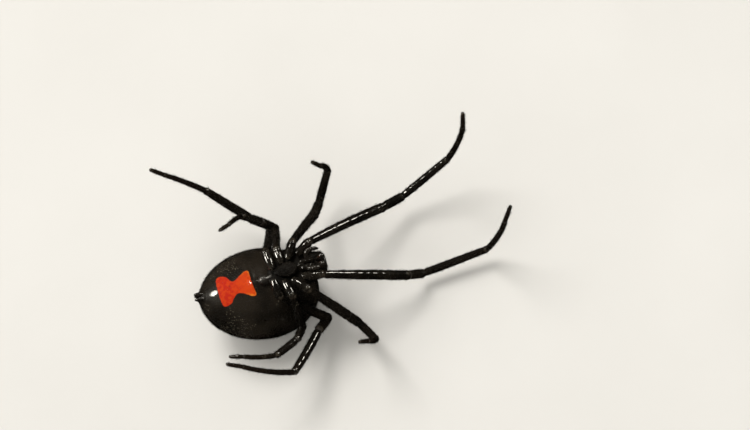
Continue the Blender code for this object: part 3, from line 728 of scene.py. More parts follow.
@dataclass
class Abdomen:
    """The egg of the abdomen with the red mark, and the raised plate of the genital opening before it.

    Seen along the body the egg's radius is the sine of u, from the tail (0) to the front (pi), a little
    fuller in front; round the body v turns from its right side over the belly. The belly is what lies above
    belly_from. Each swell is (x, y, height, width), each dimple of the back and the mark's pit are (x, y), and
    each glossy spot is (x, y, half length, half width). The tail swell is (height, width).
    """

    half_length: float = 4.35
    half_width: float = 3.30
    belly: float = 3.13
    back: float = 3.43
    fullness: float = 0.043
    pitch: float = 21.4
    yaw: float = -3.3
    centre: tuple[float, float, float] = (-3.57, 0.10, 3.46)
    rows: int = 230
    sides: int = 300
    swells: tuple = ((-3.10, -0.15, 0.06, 0.30), (-2.76, 0.12, 0.10, 0.20))
    dimples: tuple = ((-5.0, 1.3), (-5.0, -1.1), (-2.7, 1.2), (-2.7, -1.0))
    pit: tuple = (-4.80, 0.25)
    glossy: tuple = ((-3.31, -0.04, 0.15, 0.15), (-6.08, 0.12, 0.27, 0.17), (-2.74, 0.14, 0.26, 0.26))
    tail_swell: tuple = (0.33, 0.66)
    tail_place: float = 0.27
    belly_from: float = 4.0
    hairs: int = 9000

    def egg(self, u: np.ndarray, v: np.ndarray) -> np.ndarray:
        """Points of the plain egg, tipped and turned into place, by the class's formula."""
        full = np.sin(u) * (1 - self.fullness * np.cos(u))
        depth = np.where(np.sin(v) > 0, self.belly, self.back)
        x = -self.half_length * np.cos(u)
        y = self.half_width * full * np.cos(v)
        z = depth * full * np.sin(v)
        pitch, yaw = math.radians(self.pitch), math.radians(self.yaw)
        level_x = math.cos(pitch) * x + math.sin(pitch) * z
        level_z = math.cos(pitch) * z - math.sin(pitch) * x
        place = (math.cos(yaw) * level_x - math.sin(yaw) * y, math.sin(yaw) * level_x + math.cos(yaw) * y, level_z)
        return np.stack(place, -1) + np.array(self.centre)

    def outward(self, u: np.ndarray, v: np.ndarray) -> np.ndarray:
        """Directions out of the egg, from the cross product of its two slopes."""
        step = 1e-4
        round_it = self.egg(u, v + step) - self.egg(u, v - step)
        along_it = self.egg(u + step, v) - self.egg(u - step, v)
        return unit(np.cross(round_it, along_it))

    def relief(self, plain: np.ndarray) -> np.ndarray:
        """Height above the plain egg: bells for the raised places, less bells for the furrows."""
        x, y, z = plain[..., 0], plain[..., 1], plain[..., 2]
        belly = np.where(z > self.belly_from, 1.0, 0.0)
        plate = 0.10 * bell(x + 2.20, 0.32) * bell(y - 0.02, 0.42)
        covers = 0.05 * bell(x + 2.15, 0.40) * (bell(y - 1.15, 0.42) + bell(y + 1.15, 0.42))
        swell = sum(high * bell(np.hypot(x - a, y - b), wide) for a, b, high, wide in self.swells)
        furrow = -0.040 * bell(x + 2.98 + 0.10 * y * y, 0.10) * bell(y, 1.3)
        dimples = sum(bell(np.hypot(x - a, y - b), 0.16) for a, b in self.dimples)
        back = np.where(z < 2.4, -0.06, 0.0) * dimples
        tail = self.egg(np.array(self.tail_place), np.array(math.pi / 2))
        near = np.linalg.norm(plain - tail, axis=-1)
        wrinkles = 0.014 * np.cos(near * 26.0) * bell(near - 0.55, 0.16)
        high, wide = self.tail_swell
        end = wrinkles + high * bell(near, wide)
        return belly * (plate + covers + swell + furrow) + back + end + 0.012 * ripple(plain, 1.9)

    def surface(self, u: np.ndarray, v: np.ndarray) -> tuple[np.ndarray, np.ndarray]:
        """Points with their relief, never under the floor, and the directions out."""
        plain, out = self.egg(u, v), self.outward(u, v)
        points = plain + self.relief(plain)[..., None] * out
        points[..., 2] = np.maximum(points[..., 2], 0.0)
        return points, out

    def skin(self) -> Skin:
        """The whole skin, with the values at its points that its finish reads.

        Returns:
            The skin, with "mark" (depth inside the mark's outline), "forward" (place along the body), "tips" (the
            two pale tips of the mark), "polish" (clear layer), "flank" (zones of pale specks, partly dust and partly
            painted glints) and "pit" (its dark dot).
        """
        u, v = np.meshgrid(
            np.linspace(0.0, math.pi, self.rows + 1)[1:-1],
            np.linspace(0.0, math.tau, self.sides, endpoint=False),
            indexing="ij",
        )
        grid, out = self.surface(u, v)
        poles = np.stack([self.egg(np.array(0.0), np.array(0.0)), self.egg(np.array(math.pi), np.array(0.0))])
        mark = depth_inside(grid[..., :2].reshape(-1, 2), rounded(np.array(MARK_OUTLINE))).reshape(u.shape)
        belly = grid[..., 2] > self.belly_from
        mark = np.where(belly, mark, -1.0)
        x, y = grid[..., 0], grid[..., 1]
        polish = sum(bell(np.hypot((x - a) / long, (y - b) / wide), 1.0) for a, b, long, wide in self.glossy)
        polish = np.where(belly, polish, 0.0) + np.clip((0.74 - out[..., 2]) / 0.14, 0.0, 1.0)
        # Zones of many pale specks on both flanks: dust, and painted glints of hair sockets.
        flank = bell(x + 5.9, 1.6) * (1.4 * bell(y - 2.3, 0.9) + bell(y + 2.6, 1.0)) * (grid[..., 2] > 2.0)
        pit = bell(np.hypot(x - self.pit[0], y - self.pit[1]), 0.055) * belly
        tips = bell(np.hypot(x + 3.22, y + 0.84), 0.42) + 0.8 * bell(np.hypot(x + 3.38, y - 1.02), 0.36)
        return Skin.round_grid(grid, poles, 0, mark=mark, forward=x, tips=tips, polish=np.minimum(polish, 1.0),
                               flank=flank, pit=pit)

    def coat(self) -> Skin:
        """Very short hairs that lie back towards the tail, hardly any on the mark."""
        rng = np.random.default_rng(11)
        u, v = np.arccos(rng.uniform(-0.985, 0.985, self.hairs)), rng.uniform(0.0, math.tau, self.hairs)
        points, out = self.surface(u, v)
        marked = (depth_inside(points[:, :2], np.array(MARK_OUTLINE)) > -0.03) & (points[:, 2] > self.belly_from)
        kept = (points[:, 2] > 0.25) & ~(marked & (rng.uniform(0.0, 1.0, self.hairs) < 0.93))
        points, out, u, v = points[kept], out[kept], u[kept], v[kept]
        back = unit(self.egg(u - 0.01, v) - self.egg(u, v))
        lengths = rng.uniform(0.10, 0.20, len(points))
        uv = np.stack([u / math.pi, v / math.tau], -1)
        return tufts(points, out, back, lengths, 0.0065, uv)

    def build(self, finishes: Wardrobe) -> None:
        """Makes the skin in place of the abdomen's two nodes, and its coat."""
        skin = self.skin().as_piece("abdomen_skin", [finishes.belly])
        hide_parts("abdomen", "hourglass")
        self.coat().as_piece("abdomen_coat", [finishes.down])


def rounded(outline: np.ndarray, steps: int = 4) -> np.ndarray:
    """A closed outline with more corners, on the cubic curve that leaves each corner towards the next but one.

    Args:
        outline: Corners in order.
        steps: New corners for each old one.

    Returns:
        The corners of the rounder outline.
    """
    before, after, last = (np.roll(outline, k, axis=0)[:, None] for k in (1, -1, -2))
    here = outline[:, None]
    t = (np.arange(steps) / steps)[None, :, None]
    bend = (2 * here - 2 * after + 0.5 * (after - before + last - here)) * t**3
    bend = bend + (3 * after - 3 * here - (after - before) - 0.5 * (last - here)) * t**2
    return (here + 0.5 * (after - before) * t + bend).reshape(-1, 2)


def depth_inside(points: np.ndarray, outline: np.ndarray) -> np.ndarray:
    """Distance of points to a closed outline, positive inside it and negative outside.

    Args:
        points: Plan points, one a row.
        outline: Corners in order.

    Returns:
        The signed distance: the least distance to a side, and its sign by counting crossed sides.
    """
    first, second = outline, np.roll(outline, -1, axis=0)
    side = second - first
    reach = points[:, None] - first[None]
    share = np.clip((reach * side).sum(-1) / (side**2).sum(-1), 0.0, 1.0)
    gap = np.linalg.norm(reach - share[..., None] * side, axis=-1).min(1)
    above = first[None, :, 1] > points[:, None, 1]
    beyond = second[None, :, 1] > points[:, None, 1]
    rise = np.where(np.abs(side[:, 1]) < 1e-9, 1e-9, side[:, 1])
    crossing = first[None, :, 0] + (points[:, None, 1] - first[None, :, 1]) * side[:, 0] / rise
    inside = ((above != beyond) & (points[:, None, 0] < crossing)).sum(1) % 2 == 1
    return np.where(inside, gap, -gap)


@dataclass
class Spinnerets:
    """Three pairs of silk-spinning fingers on a wrinkled mound at the tail, a small cone before them.

    A pair is (shift ahead, distance from the middle, length, radius, inward lean); crown_height and mound are
    the height and the radius of the mound, and spigots the number of hairs on each finger.
    """

    abdomen: Abdomen
    crown_height: float = 0.13
    mound: float = 0.44
    spigots: int = 26
    pairs: tuple = ((0.27, 0.16, 0.58, 0.165, -0.45), (-0.02, 0.07, 0.34, 0.09, 0.35), (-0.19, 0.14, 0.42, 0.13, 0.35))

    def build(self, finishes: Wardrobe) -> None:
        """Makes the mound, the fingers in two segments each and their tiny spigots."""
        place = self.abdomen.tail_place
        middle = self.abdomen.egg(np.array(place), np.array(math.pi / 2))
        ahead = unit(self.abdomen.egg(np.array(place + 0.05), np.array(math.pi / 2)) - middle)
        side = np.array((0.0, 1.0, 0.0))
        out = unit(np.cross(ahead, side))
        out = out if out[2] > 0 else -out
        crown = middle + out * self.crown_height
        skins = [
            Limb(middle - out * 0.35, crown - out * 0.10, (self.mound, self.mound * 1.02, self.mound * 0.94), cap=0.5,
                 uneven=0.012).skin(48, 20),
        ]
        tips = []
        for shift, apart, length, radius, inward in self.pairs:
            for sign in (-1.0, 1.0):
                foot = crown + ahead * shift + side * (sign * apart)
                lean = unit(out - ahead * (0.9 * shift) - side * (sign * inward * apart))
                waist = foot + lean * length * 0.62
                tip = foot + lean * length
                skins.append(Limb(foot - lean * 0.1, waist, (radius, 1.06 * radius, 0.92 * radius),
                                  lip=0.05, cap=0.5, uneven=0.006).skin(28, 16))
                skins.append(Limb(waist, tip, (0.80 * radius, 0.74 * radius, 0.50 * radius), cap=0.7,
                                  uneven=0.004).skin(24, 10))
                tips.append((tip, lean, radius))
        cone = crown + ahead * 0.38
        skins.append(Limb(cone - out * 0.1, cone + out * 0.12, (0.10, 0.075, 0.03), cap=0.8).skin(18, 8))
        skins.append(Limb(crown - ahead * 0.34 - out * 0.1, crown - ahead * 0.36 + out * 0.10,
                          (0.13, 0.11, 0.06), cap=0.8, uneven=0.006).skin(20, 8))
        piece = Skin.joined(skins).as_piece("spinnerets_skin", [finishes.silk])
        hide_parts("spinnerets")
        rng = np.random.default_rng(5)
        rows, count = [], self.spigots
        for tip, lean, radius in tips:
            across, other = across_of(lean)
            angle, reach = rng.uniform(0, math.tau, count), np.sqrt(rng.uniform(0, 1, count)) * 0.45 * radius
            off = np.cos(angle)[:, None] * across + np.sin(angle)[:, None] * other
            roots = tip + reach[:, None] * off + lean * 0.02
            uv = np.stack([angle / math.tau, reach], -1)
            ways = np.repeat(lean[None], count, 0)
            rows.append(tufts(roots, ways, off, rng.uniform(0.04, 0.08, count), 0.008, uv))
        Skin.joined(rows).as_piece("spinnerets_spigots", [finishes.hair])


@dataclass(frozen=True)
class Lobe:
    """A rounded mouth lobe: an egg whose sides lean by skew towards its front, with a groove along it."""

    centre: tuple[float, float, float]
    half: tuple[float, float, float]
    skew: float = 0.0
    groove: float = 0.0
    bristles: int = 260

    def point(self, u: np.ndarray, v: np.ndarray) -> np.ndarray:
        """A point of it: u runs from its rear (0) to its front (pi), v round it."""
        full = np.sin(u) ** 0.8
        x = self.centre[0] - self.half[0] * np.cos(u)
        y = self.centre[1] + self.half[1] * full * np.cos(v) - self.skew * (x - self.centre[0])
        z = self.centre[2] + self.half[2] * full * np.sin(v) * (1 - self.groove * bell(np.cos(v), 0.25))
        return np.stack([x, y, z], -1)

    def skin(self) -> Skin:
        """The closed surface, a little uneven."""
        u, v = np.meshgrid(
            np.linspace(0, math.pi, 42)[1:-1], np.linspace(0, math.tau, 48, endpoint=False), indexing="ij"
        )
        grid = self.point(u, v)
        grid += 0.008 * ripple(grid, 0.3)[..., None] * UP
        ends = [self.point(np.array(e), np.array(0.0)) for e in (0.0, math.pi)]
        return Skin.round_grid(grid, np.stack(ends))

    def brush(self, seed: int) -> Skin:
        """Short bristles on its upper side, thicker towards its front."""
        rng = np.random.default_rng(seed)
        count = self.bristles
        u, v = math.pi * np.sqrt(rng.uniform(0.1, 0.92, count)), rng.uniform(0.05, math.pi - 0.05, count)
        foot = self.point(u, v)
        out = unit(foot - np.array(self.centre))
        ahead = np.repeat(np.array([[1.0, 0.0, 0.3]]), count, 0)
        uv = np.stack([u / math.pi, v / math.tau], -1)
        return tufts(foot, out, ahead, rng.uniform(0.06, 0.17, count), 0.009, uv)


@dataclass
class Prosoma:
    """The front body: carapace below, sternum and mouth lobes above, the waist behind and eight eyes.

    A station is (x, half width, depth of the back, height of the deck), an eye (name, x, distance from the
    middle) and a coxa the direction in degrees in which a hip notches the sternum. The sternum and the pit
    of the back lie about middle_x, and the waist runs from waist_rear to waist_front.
    """

    level: float = 6.65
    stations: tuple = (
        (-1.95, 0.25, 0.08, 0.08), (-1.65, 0.85, 0.20, 0.22), (-1.05, 1.48, 0.46, 0.28),
        (-0.25, 1.75, 0.72, 0.30), (0.60, 1.62, 0.84, 0.30), (1.30, 1.16, 0.88, 0.28),
        (1.90, 0.92, 0.82, 0.22), (2.30, 0.80, 0.62, 0.14), (2.50, 0.55, 0.34, 0.08),
    )
    eyes: tuple = (
        ("anterior_median", 2.36, 0.16), ("anterior_lateral", 2.28, 0.42),
        ("posterior_median", 2.12, 0.20), ("posterior_lateral", 2.08, 0.52),
    )
    lobes: tuple = (
        Lobe((0.80, 0.0, 7.28), (0.24, 0.20, 0.36)),
        Lobe((1.22, -0.23, 7.20), (0.50, 0.19, 0.44), -0.06, 0.10),
        Lobe((1.22, 0.23, 7.20), (0.50, 0.19, 0.44), 0.06, 0.10),
        Lobe((1.05, 0.0, 6.95), (0.60, 0.40, 0.30)),
    )
    eye_radius: float = 0.088
    sternum_top: float = 7.58
    middle_x: float = -0.25
    waist_rear: tuple = (-2.72, 0.06, 6.24)
    waist_front: tuple = (-1.55, 0.0, 6.77)
    shell_hairs: int = 2600
    plate_hairs: int = 200
    coxae: tuple = (-145, -106, -64, -32, 41, 70, 111, 150)

    def sizes(self, x: np.ndarray) -> np.ndarray:
        """Half width, depth of the back and height of the deck at x: cubic curves through the stations."""
        table = np.array(self.stations)
        places, values = table[:, 0], table[:, 1:]
        before, after = np.maximum(np.arange(len(table)) - 1, 0), np.minimum(np.arange(len(table)) + 1, len(table) - 1)
        slopes = (values[after] - values[before]) / (places[after] - places[before])[:, None]
        i = np.clip(np.searchsorted(places, x, side="right") - 1, 0, len(table) - 2)
        span = (places[i + 1] - places[i])[..., None]
        t = (x - places[i])[..., None] / span
        near = (2 * t**3 - 3 * t**2 + 1) * values[i] + (t**3 - 2 * t**2 + t) * span * slopes[i]
        return near + (3 * t**2 - 2 * t**3) * values[i + 1] + (t**3 - t**2) * span * slopes[i + 1]

    def shell_point(self, x: np.ndarray, v: np.ndarray) -> np.ndarray:
        """A point of the shell at x, v turning from its right side over the deck: half an ellipse each way."""
        size = self.sizes(x)
        height = np.where(np.sin(v) > 0, size[..., 2], size[..., 1])
        return np.stack([x, size[..., 0] * np.cos(v), self.level + height * np.sin(v)], -1)

    def carapace(self) -> Skin:
        """The shell with the pit in the middle of its back and the grooves that run out from it."""
        rear, front = self.stations[0][0], self.stations[-1][0]
        x = rear + (front - rear) * 0.5 * (1 - np.cos(np.linspace(0.0, math.pi, 110)))
        x, v = np.meshgrid(x, np.linspace(0.0, math.tau, 150, endpoint=False), indexing="ij")
        grid = self.shell_point(x, v)
        away = np.stack([np.zeros_like(x), np.cos(v), np.sin(v)], -1)
        pit = np.hypot(x - self.middle_x, grid[..., 1])
        turn = np.arctan2(grid[..., 1], x - self.middle_x)
        lower = np.sin(v) < 0
        grooves = 0.035 * bell((turn * 9 / math.tau) % 1 - 0.5, 0.16) * bell(pit - 0.9, 0.55)
        fall = np.where(lower, 0.14 * bell(pit, 0.20) + grooves, 0.0)
        neck = np.where(lower, 0.05 * bell(x - 1.05 + 0.5 * np.abs(grid[..., 1]), 0.14), 0.0)
        grid = grid + ((0.010 * ripple(grid, 0.8) - fall - neck))[..., None] * away
        poles = np.array([(rear - 0.06, 0.0, self.level), (front + 0.06, 0.0, self.level)])
        shell = Skin.round_grid(grid, poles)
        quads, ends = shell.faces[0][0], shell.faces[1]
        deck = shell.points[quads, 2].mean(1) > self.level + 0.03
        shell.faces = [(quads[~deck], 0), (quads[deck], 1), ends]
        return shell

    def plate_point(self, share: np.ndarray, angle: np.ndarray) -> np.ndarray:
        """A point of the sternum: a low dome whose outline narrows behind and gives way to each hip."""
        away = np.stack([bell((angle - math.radians(a) + math.pi) % math.tau - math.pi, 0.24) for a in self.coxae])
        share = share * (1 - 0.09 * away.sum(0))
        length = np.where(np.cos(angle) > 0, 0.82, 0.95)
        half = 0.54 * (1 + 0.22 * np.cos(angle))
        height = self.sternum_top - 0.16 * share**3
        ahead = self.middle_x + length * share * np.cos(angle)
        return np.stack([ahead, half * share * np.sin(angle), height], -1)

    def sternum(self) -> Skin:
        """The plate between the hips, with a low rim and walls that run down to the deck."""
        reach = np.concatenate([np.linspace(0.04, 1.0, 26), np.full(6, 1.0)])
        drop = np.concatenate([np.zeros(26), np.linspace(0.05, 0.80, 6)])
        angles = np.linspace(0.0, math.tau, 96, endpoint=False)
        share, angle = np.meshgrid(reach, angles, indexing="ij")
        grid = self.plate_point(share, angle)
        grid[..., 2] += 0.02 * bell(share - 0.86, 0.06) + 0.010 * ripple(grid, 0.35) - drop[:, None]
        poles = np.array([(self.middle_x, 0.0, self.sternum_top), (self.middle_x, 0.0, self.level)])
        return Skin.round_grid(grid[:, ::-1], poles)

    def coat(self) -> Skin:
        """Sparse short hairs on the sternum and the shell, denser towards the head, and the mouth's brushes."""
        rng = np.random.default_rng(23)
        count = self.shell_hairs
        x = rng.uniform(-1.5, 2.45, count)
        v = rng.uniform(0.0, math.tau, count)
        kept = rng.uniform(0.0, 1.0, count) < 0.30 + 0.70 * (x > 1.3)
        x, v = x[kept], v[kept]
        foot = self.shell_point(x, v)
        ahead = unit(self.shell_point(x + 0.01, v) - foot)
        out = unit(np.cross(self.shell_point(x, v + 0.01) - foot, ahead))
        uv = np.stack([0.45 * (x + 1.95) / 4.45, v / math.tau], -1)
        shell = tufts(foot, out, ahead, rng.uniform(0.10, 0.22, len(x)), 0.010, uv)
        count = self.plate_hairs
        share, angle = np.sqrt(rng.uniform(0.0, 0.95, count)), rng.uniform(0.0, math.tau, count)
        foot = self.plate_point(share, angle)
        up, back = np.repeat(UP[None], count, 0), np.repeat(np.array([[-1.0, 0.0, 0.0]]), count, 0)
        uv = np.stack([0.75 + 0.24 * share * np.cos(angle), 0.5 + 0.49 * share * np.sin(angle)], -1)
        plate = tufts(foot, up, back, rng.uniform(0.12, 0.24, count), 0.011, uv)
        brushes = [lobe.brush(31 + i) for i, lobe in enumerate(self.lobes[:3])]
        return Skin.joined([shell, plate, *brushes])

    def eye(self, x: float, apart: float, sign: float) -> Skin:
        """A lens on a low raised collar: a circle turned about the way out of the shell."""
        half_width = float(self.sizes(np.array(x))[0])
        v = np.array(-math.acos(sign * apart / half_width))
        foot = self.shell_point(np.array(x), v)
        out = unit(foot - np.array((x - 0.5, 0.0, self.level)))
        across, other = across_of(out)
        lens = np.linspace(0.0, 1.9, 16)[1:]
        heights = np.concatenate([[-0.05, 0.012, 0.022, 0.014], 0.02 + self.eye_radius * np.cos(lens[::-1])])
        widths = np.concatenate([[1.30, 1.34, 1.22, 1.06], np.sin(lens[::-1])]) * self.eye_radius
        angles = np.linspace(0.0, math.tau, 28, endpoint=False)
        ring = np.cos(angles)[:, None] * across + np.sin(angles)[:, None] * other
        grid = foot + heights[:, None, None] * out + widths[:, None, None] * ring[None]
        poles = np.stack([foot - out * 0.06, foot + out * (0.02 + self.eye_radius)])
        return Skin.round_grid(grid, poles)

    def build(self, finishes: Wardrobe) -> None:
        """Makes the front body, the waist and the eyes in place of their nodes."""
        forms = [self.carapace(), *(lobe.skin() for lobe in self.lobes)]
        plate = self.sternum()
        plate.faces = [(faces, 1) for faces, _ in plate.faces]
        body = Skin.joined([*forms, plate]).as_piece("prosoma_shell", [finishes.shell, finishes.sternum])
        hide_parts("prosoma")
        self.coat().as_piece("prosoma_coat", [finishes.hair])
        rear, front = np.array(self.waist_rear), np.array(self.waist_front)
        halfway = rear + 0.48 * (front - rear)
        waist = [
            Limb(rear, front, (0.21, 0.19, 0.21), cap=0.3, uneven=0.010).skin(40, 40, 1),
            Limb(rear + 0.22 * (front - rear), rear + 0.60 * (front - rear), (0.34, 0.42, 0.31), cap=0.8,
                 uneven=0.018).skin(56, 44),
            Limb(halfway + 0.04 * UP, front, (0.20, 0.24, 0.20), cap=0.7, uneven=0.012).skin(40, 30),
        ]
        piece = Skin.joined(waist).as_piece("pedicel_skin", [finishes.waist, finishes.membrane])
        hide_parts("pedicel")
        eyes = [self.eye(x, apart, side.value) for _, x, apart in self.eyes for side in Side]
        piece = Skin.joined(eyes).as_piece("eyes_lenses", [finishes.eye])
        names = [f"eye_{name}_{side.name.lower()}" for name, _, _ in self.eyes for side in Side]
        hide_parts(*names)


@dataclass
class Jaws:
    """Both chelicerae, each a stout segment with a curved fang folded across its tip."""

    start: tuple = (1.95, 0.31, 6.70)
    tip: tuple = (2.48, 0.29, 7.32)
    fang_tip: tuple = (2.26, 0.12, 7.60)
    radii: tuple = (0.235, 0.245, 0.19)

    def build(self, finishes: Wardrobe) -> None:
        """Makes a jaw and its fang on each side."""
        for side in Side:
            flip = np.array((1.0, side.value, 1.0))
            start, tip, fang_tip = (np.array(p) * flip for p in (self.start, self.tip, self.fang_tip))
            base = Limb(start, tip, self.radii, neck=0.08, lip=0.04, cap=0.75, uneven=0.006)
            way = unit(fang_tip - tip + 0.12 * UP)
            curl = unit(np.cross(np.cross(way, fang_tip - tip + np.array((-0.2, 0.0, 0.0))), way))
            fang = hooked(tip - way * 0.04, way, curl, 0.40, 0.085, 1, 16, 20)
            piece = Skin.joined([base.skin(44, 30), fang]).as_piece(f"chelicera_{side.name.lower()}_shell",
                                                       [finishes.mouth, finishes.claw])
            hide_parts(f"chelicera_{side.name.lower()}")
            coat = Coat(70.0, 0.10, 0.24, 0.008, 60 + int(side.value)).on_limbs([base])
            coat.as_piece(f"chelicera_{side.name.lower()}_coat", [finishes.hair])


@dataclass
class Palps:
    """The two palps: four short segments each, folded beside the mouth, with one small claw."""

    radii: tuple = (0.15, 0.16, 0.155, 0.15, 0.09)
    joints: dict = field(default_factory=lambda: {
        Side.RIGHT: ((1.32, 0.50, 7.38), (1.54, 0.74, 7.75), (1.78, 0.83, 7.80), (1.98, 0.87, 7.68),
                     (2.28, 0.88, 7.36)),
        Side.LEFT: ((1.30, -0.36, 7.54), (1.66, -0.54, 7.72), (1.92, -0.60, 7.79), (2.10, -0.60, 7.75),
                    (2.26, -0.57, 7.61)),
    })

    def build(self, finishes: Wardrobe) -> None:
        """Makes each palp with its coat."""
        for side, joints in self.joints.items():
            points = [np.array(p) for p in joints]
            limbs = [
                Limb(a, b, (r0, 0.5 * (r0 + r1) + 0.015, r1), neck=0.16, neck_width=0.08, lip=0.05, cap=0.55,
                     uneven=0.005)
                for a, b, r0, r1 in zip(points, points[1:], self.radii, self.radii[1:])
            ]
            skins = [limb.skin(28, 22, 0, (i / 4, (i + 1) / 4)) for i, limb in enumerate(limbs)]
            way = limbs[-1].axis
            claw = hooked(points[-1] + way * 0.04, way, unit(np.cross(way, np.array((0.0, 1.0, 0.0)))), 0.12, 0.024, 1)
            name = f"palp_{side.name.lower()}"
            piece = Skin.joined(skins + [claw]).as_piece(f"{name}_shell", [finishes.mouth, finishes.claw])
            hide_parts(name)
            coat = Coat(60.0, 0.10, 0.20, 0.008, 40 + int(side.value)).on_limbs(limbs)
            coat.as_piece(f"{name}_coat", [finishes.hair])


BOWS = {Part.FEMUR: 0.012, Part.TIBIA: 0.012, Part.METATARSUS: 0.028}
NECKS = {Part.COXA: 0.0, Part.FEMUR: 0.28, Part.PATELLA: 0.24, Part.TIBIA: 0.28, Part.METATARSUS: 0.24,
         Part.TARSUS: 0.20}
# Thickness of each pair of legs: radius at the start, middle and end of every segment.
LEG_RADII = {
    1: ((0.22, 0.33, 0.30), (0.27, 0.34, 0.345), (0.32, 0.33, 0.30), (0.27, 0.28, 0.24), (0.22, 0.19, 0.175),
        (0.16, 0.155, 0.13)),
    2: ((0.22, 0.33, 0.30), (0.27, 0.32, 0.35), (0.32, 0.34, 0.31), (0.28, 0.285, 0.25), (0.22, 0.185, 0.17),
        (0.16, 0.155, 0.13)),
    3: ((0.21, 0.32, 0.29), (0.25, 0.28, 0.30), (0.28, 0.29, 0.27), (0.26, 0.275, 0.23), (0.19, 0.17, 0.155),
        (0.15, 0.145, 0.12)),
    4: ((0.22, 0.33, 0.30), (0.25, 0.32, 0.34), (0.32, 0.34, 0.32), (0.30, 0.31, 0.26), (0.22, 0.185, 0.165),
        (0.155, 0.15, 0.125)),
}


@dataclass
class Leg:
    """One leg: coxa, trochanter ring, femur, patella, tibia, metatarsus and tarsus with three claws.

    A stretch is the (length, azimuth, elevation) of a segment after the trochanter.
    """

    side: Side
    number: int
    coxa: tuple[float, float]
    trochanter: tuple[float, float, float]
    stretches: tuple

    @property
    def name(self) -> str:
        """Name of its node."""
        return f"leg_{self.side.name.lower()}_{self.number}"

    def joints(self) -> list[np.ndarray]:
        """The joints from the start of the coxa to the tip of the tarsus."""
        made = [np.array((*self.coxa, COXA_HEIGHT)), np.array(self.trochanter)]
        for length, azimuth, elevation in self.stretches:
            made.append(made[-1] + length * turn_to(azimuth, elevation))
        return made

    def limbs(self) -> list[Limb]:
        """The segments, each bowed away from the hollow side of the bend, the hip reaching in to the sternum."""
        joints = self.joints()
        joints[0] = joints[0] - HIP_REACH * unit(joints[1] - joints[0])
        made = []
        for i, part in enumerate(Part):
            bow = np.zeros(3)
            if part in BOWS:
                axis = unit(joints[i + 1] - joints[i])
                out = unit(joints[i] - joints[i - 1]) - unit(joints[i + 2] - joints[i + 1])
                out = out - axis * (out @ axis)
                bow = unit(out) * BOWS[part] * float(np.linalg.norm(joints[i + 1] - joints[i]))
            made.append(Limb(joints[i], joints[i + 1], LEG_RADII[self.number][i], bow, NECKS[part], 0.18,
                             0.0 if part is Part.TARSUS else 0.09, 0.55, 0.010))
        return made

    def collars(self, limbs: list[Limb]) -> list[Skin]:
        """The pleated soft skin at each joint, a short ring a little thinner than the parts that it joins."""
        made = []
        for near, far in zip(limbs[1:], limbs[2:]):
            axis = unit(near.axis + far.axis)
            radius = 0.93 * min(near.radii[2], 1.05 * far.radii[0])
            ring = Limb(near.end - axis * 0.10, near.end + axis * 0.10, (0.9 * radius, radius, 0.9 * radius), cap=0.8,
                        uneven=0.012)
            made.append(ring.skin(28, 14, 1))
        return made

    def claws(self, last: Limb) -> list[Skin]:
        """Two long claws side by side and a short one between them, curved the way that the leg hooks."""
        _, azimuth, elevation = self.stretches[-1]
        curl = turn_to(azimuth, elevation - 90.0)
        level = np.cross(last.axis, curl)
        tip = last.end + last.axis * 0.02
        made = [
            hooked(tip + level * s * 0.035, unit(last.axis + 0.15 * s * level), curl, 0.13, 0.026, 2) for s in (-1, 1)
        ]
        return made + [hooked(tip + curl * 0.03, last.axis, curl, 0.09, 0.020, 2)]

    def build(self, finishes: Wardrobe) -> None:
        """Makes the leg in place of its node, and its coat."""
        limbs = self.limbs()
        ends = np.cumsum([0.0] + [limb.length for limb in limbs])
        ends = ends / ends[-1]
        skins = [
            limb.skin(40, max(16, int(12 * limb.length)), 0, (ends[i], ends[i + 1]))
            for i, limb in enumerate(limbs)
        ]
        hip = limbs[0].end
        axis = unit(limbs[0].axis + limbs[1].axis)
        knob = 1.04 * LEG_RADII[self.number][0][2]
        skins.append(Limb(hip - axis * 0.12, hip + axis * 0.12, (0.94 * knob, knob, 0.94 * knob), cap=0.7,
                          uneven=0.008).skin(40, 14))
        skins += self.collars(limbs) + self.claws(limbs[-1])
        piece = Skin.joined(skins).as_piece(f"{self.name}_shell", [finishes.leg, finishes.membrane, finishes.claw])
        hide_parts(self.name)
        coat = Coat(70.0, 0.10, 0.30, 0.0095, 10 * self.number + int(self.side.value)).on_limbs(limbs, 0.7)
        coat.as_piece(f"{self.name}_coat", [finishes.hair])


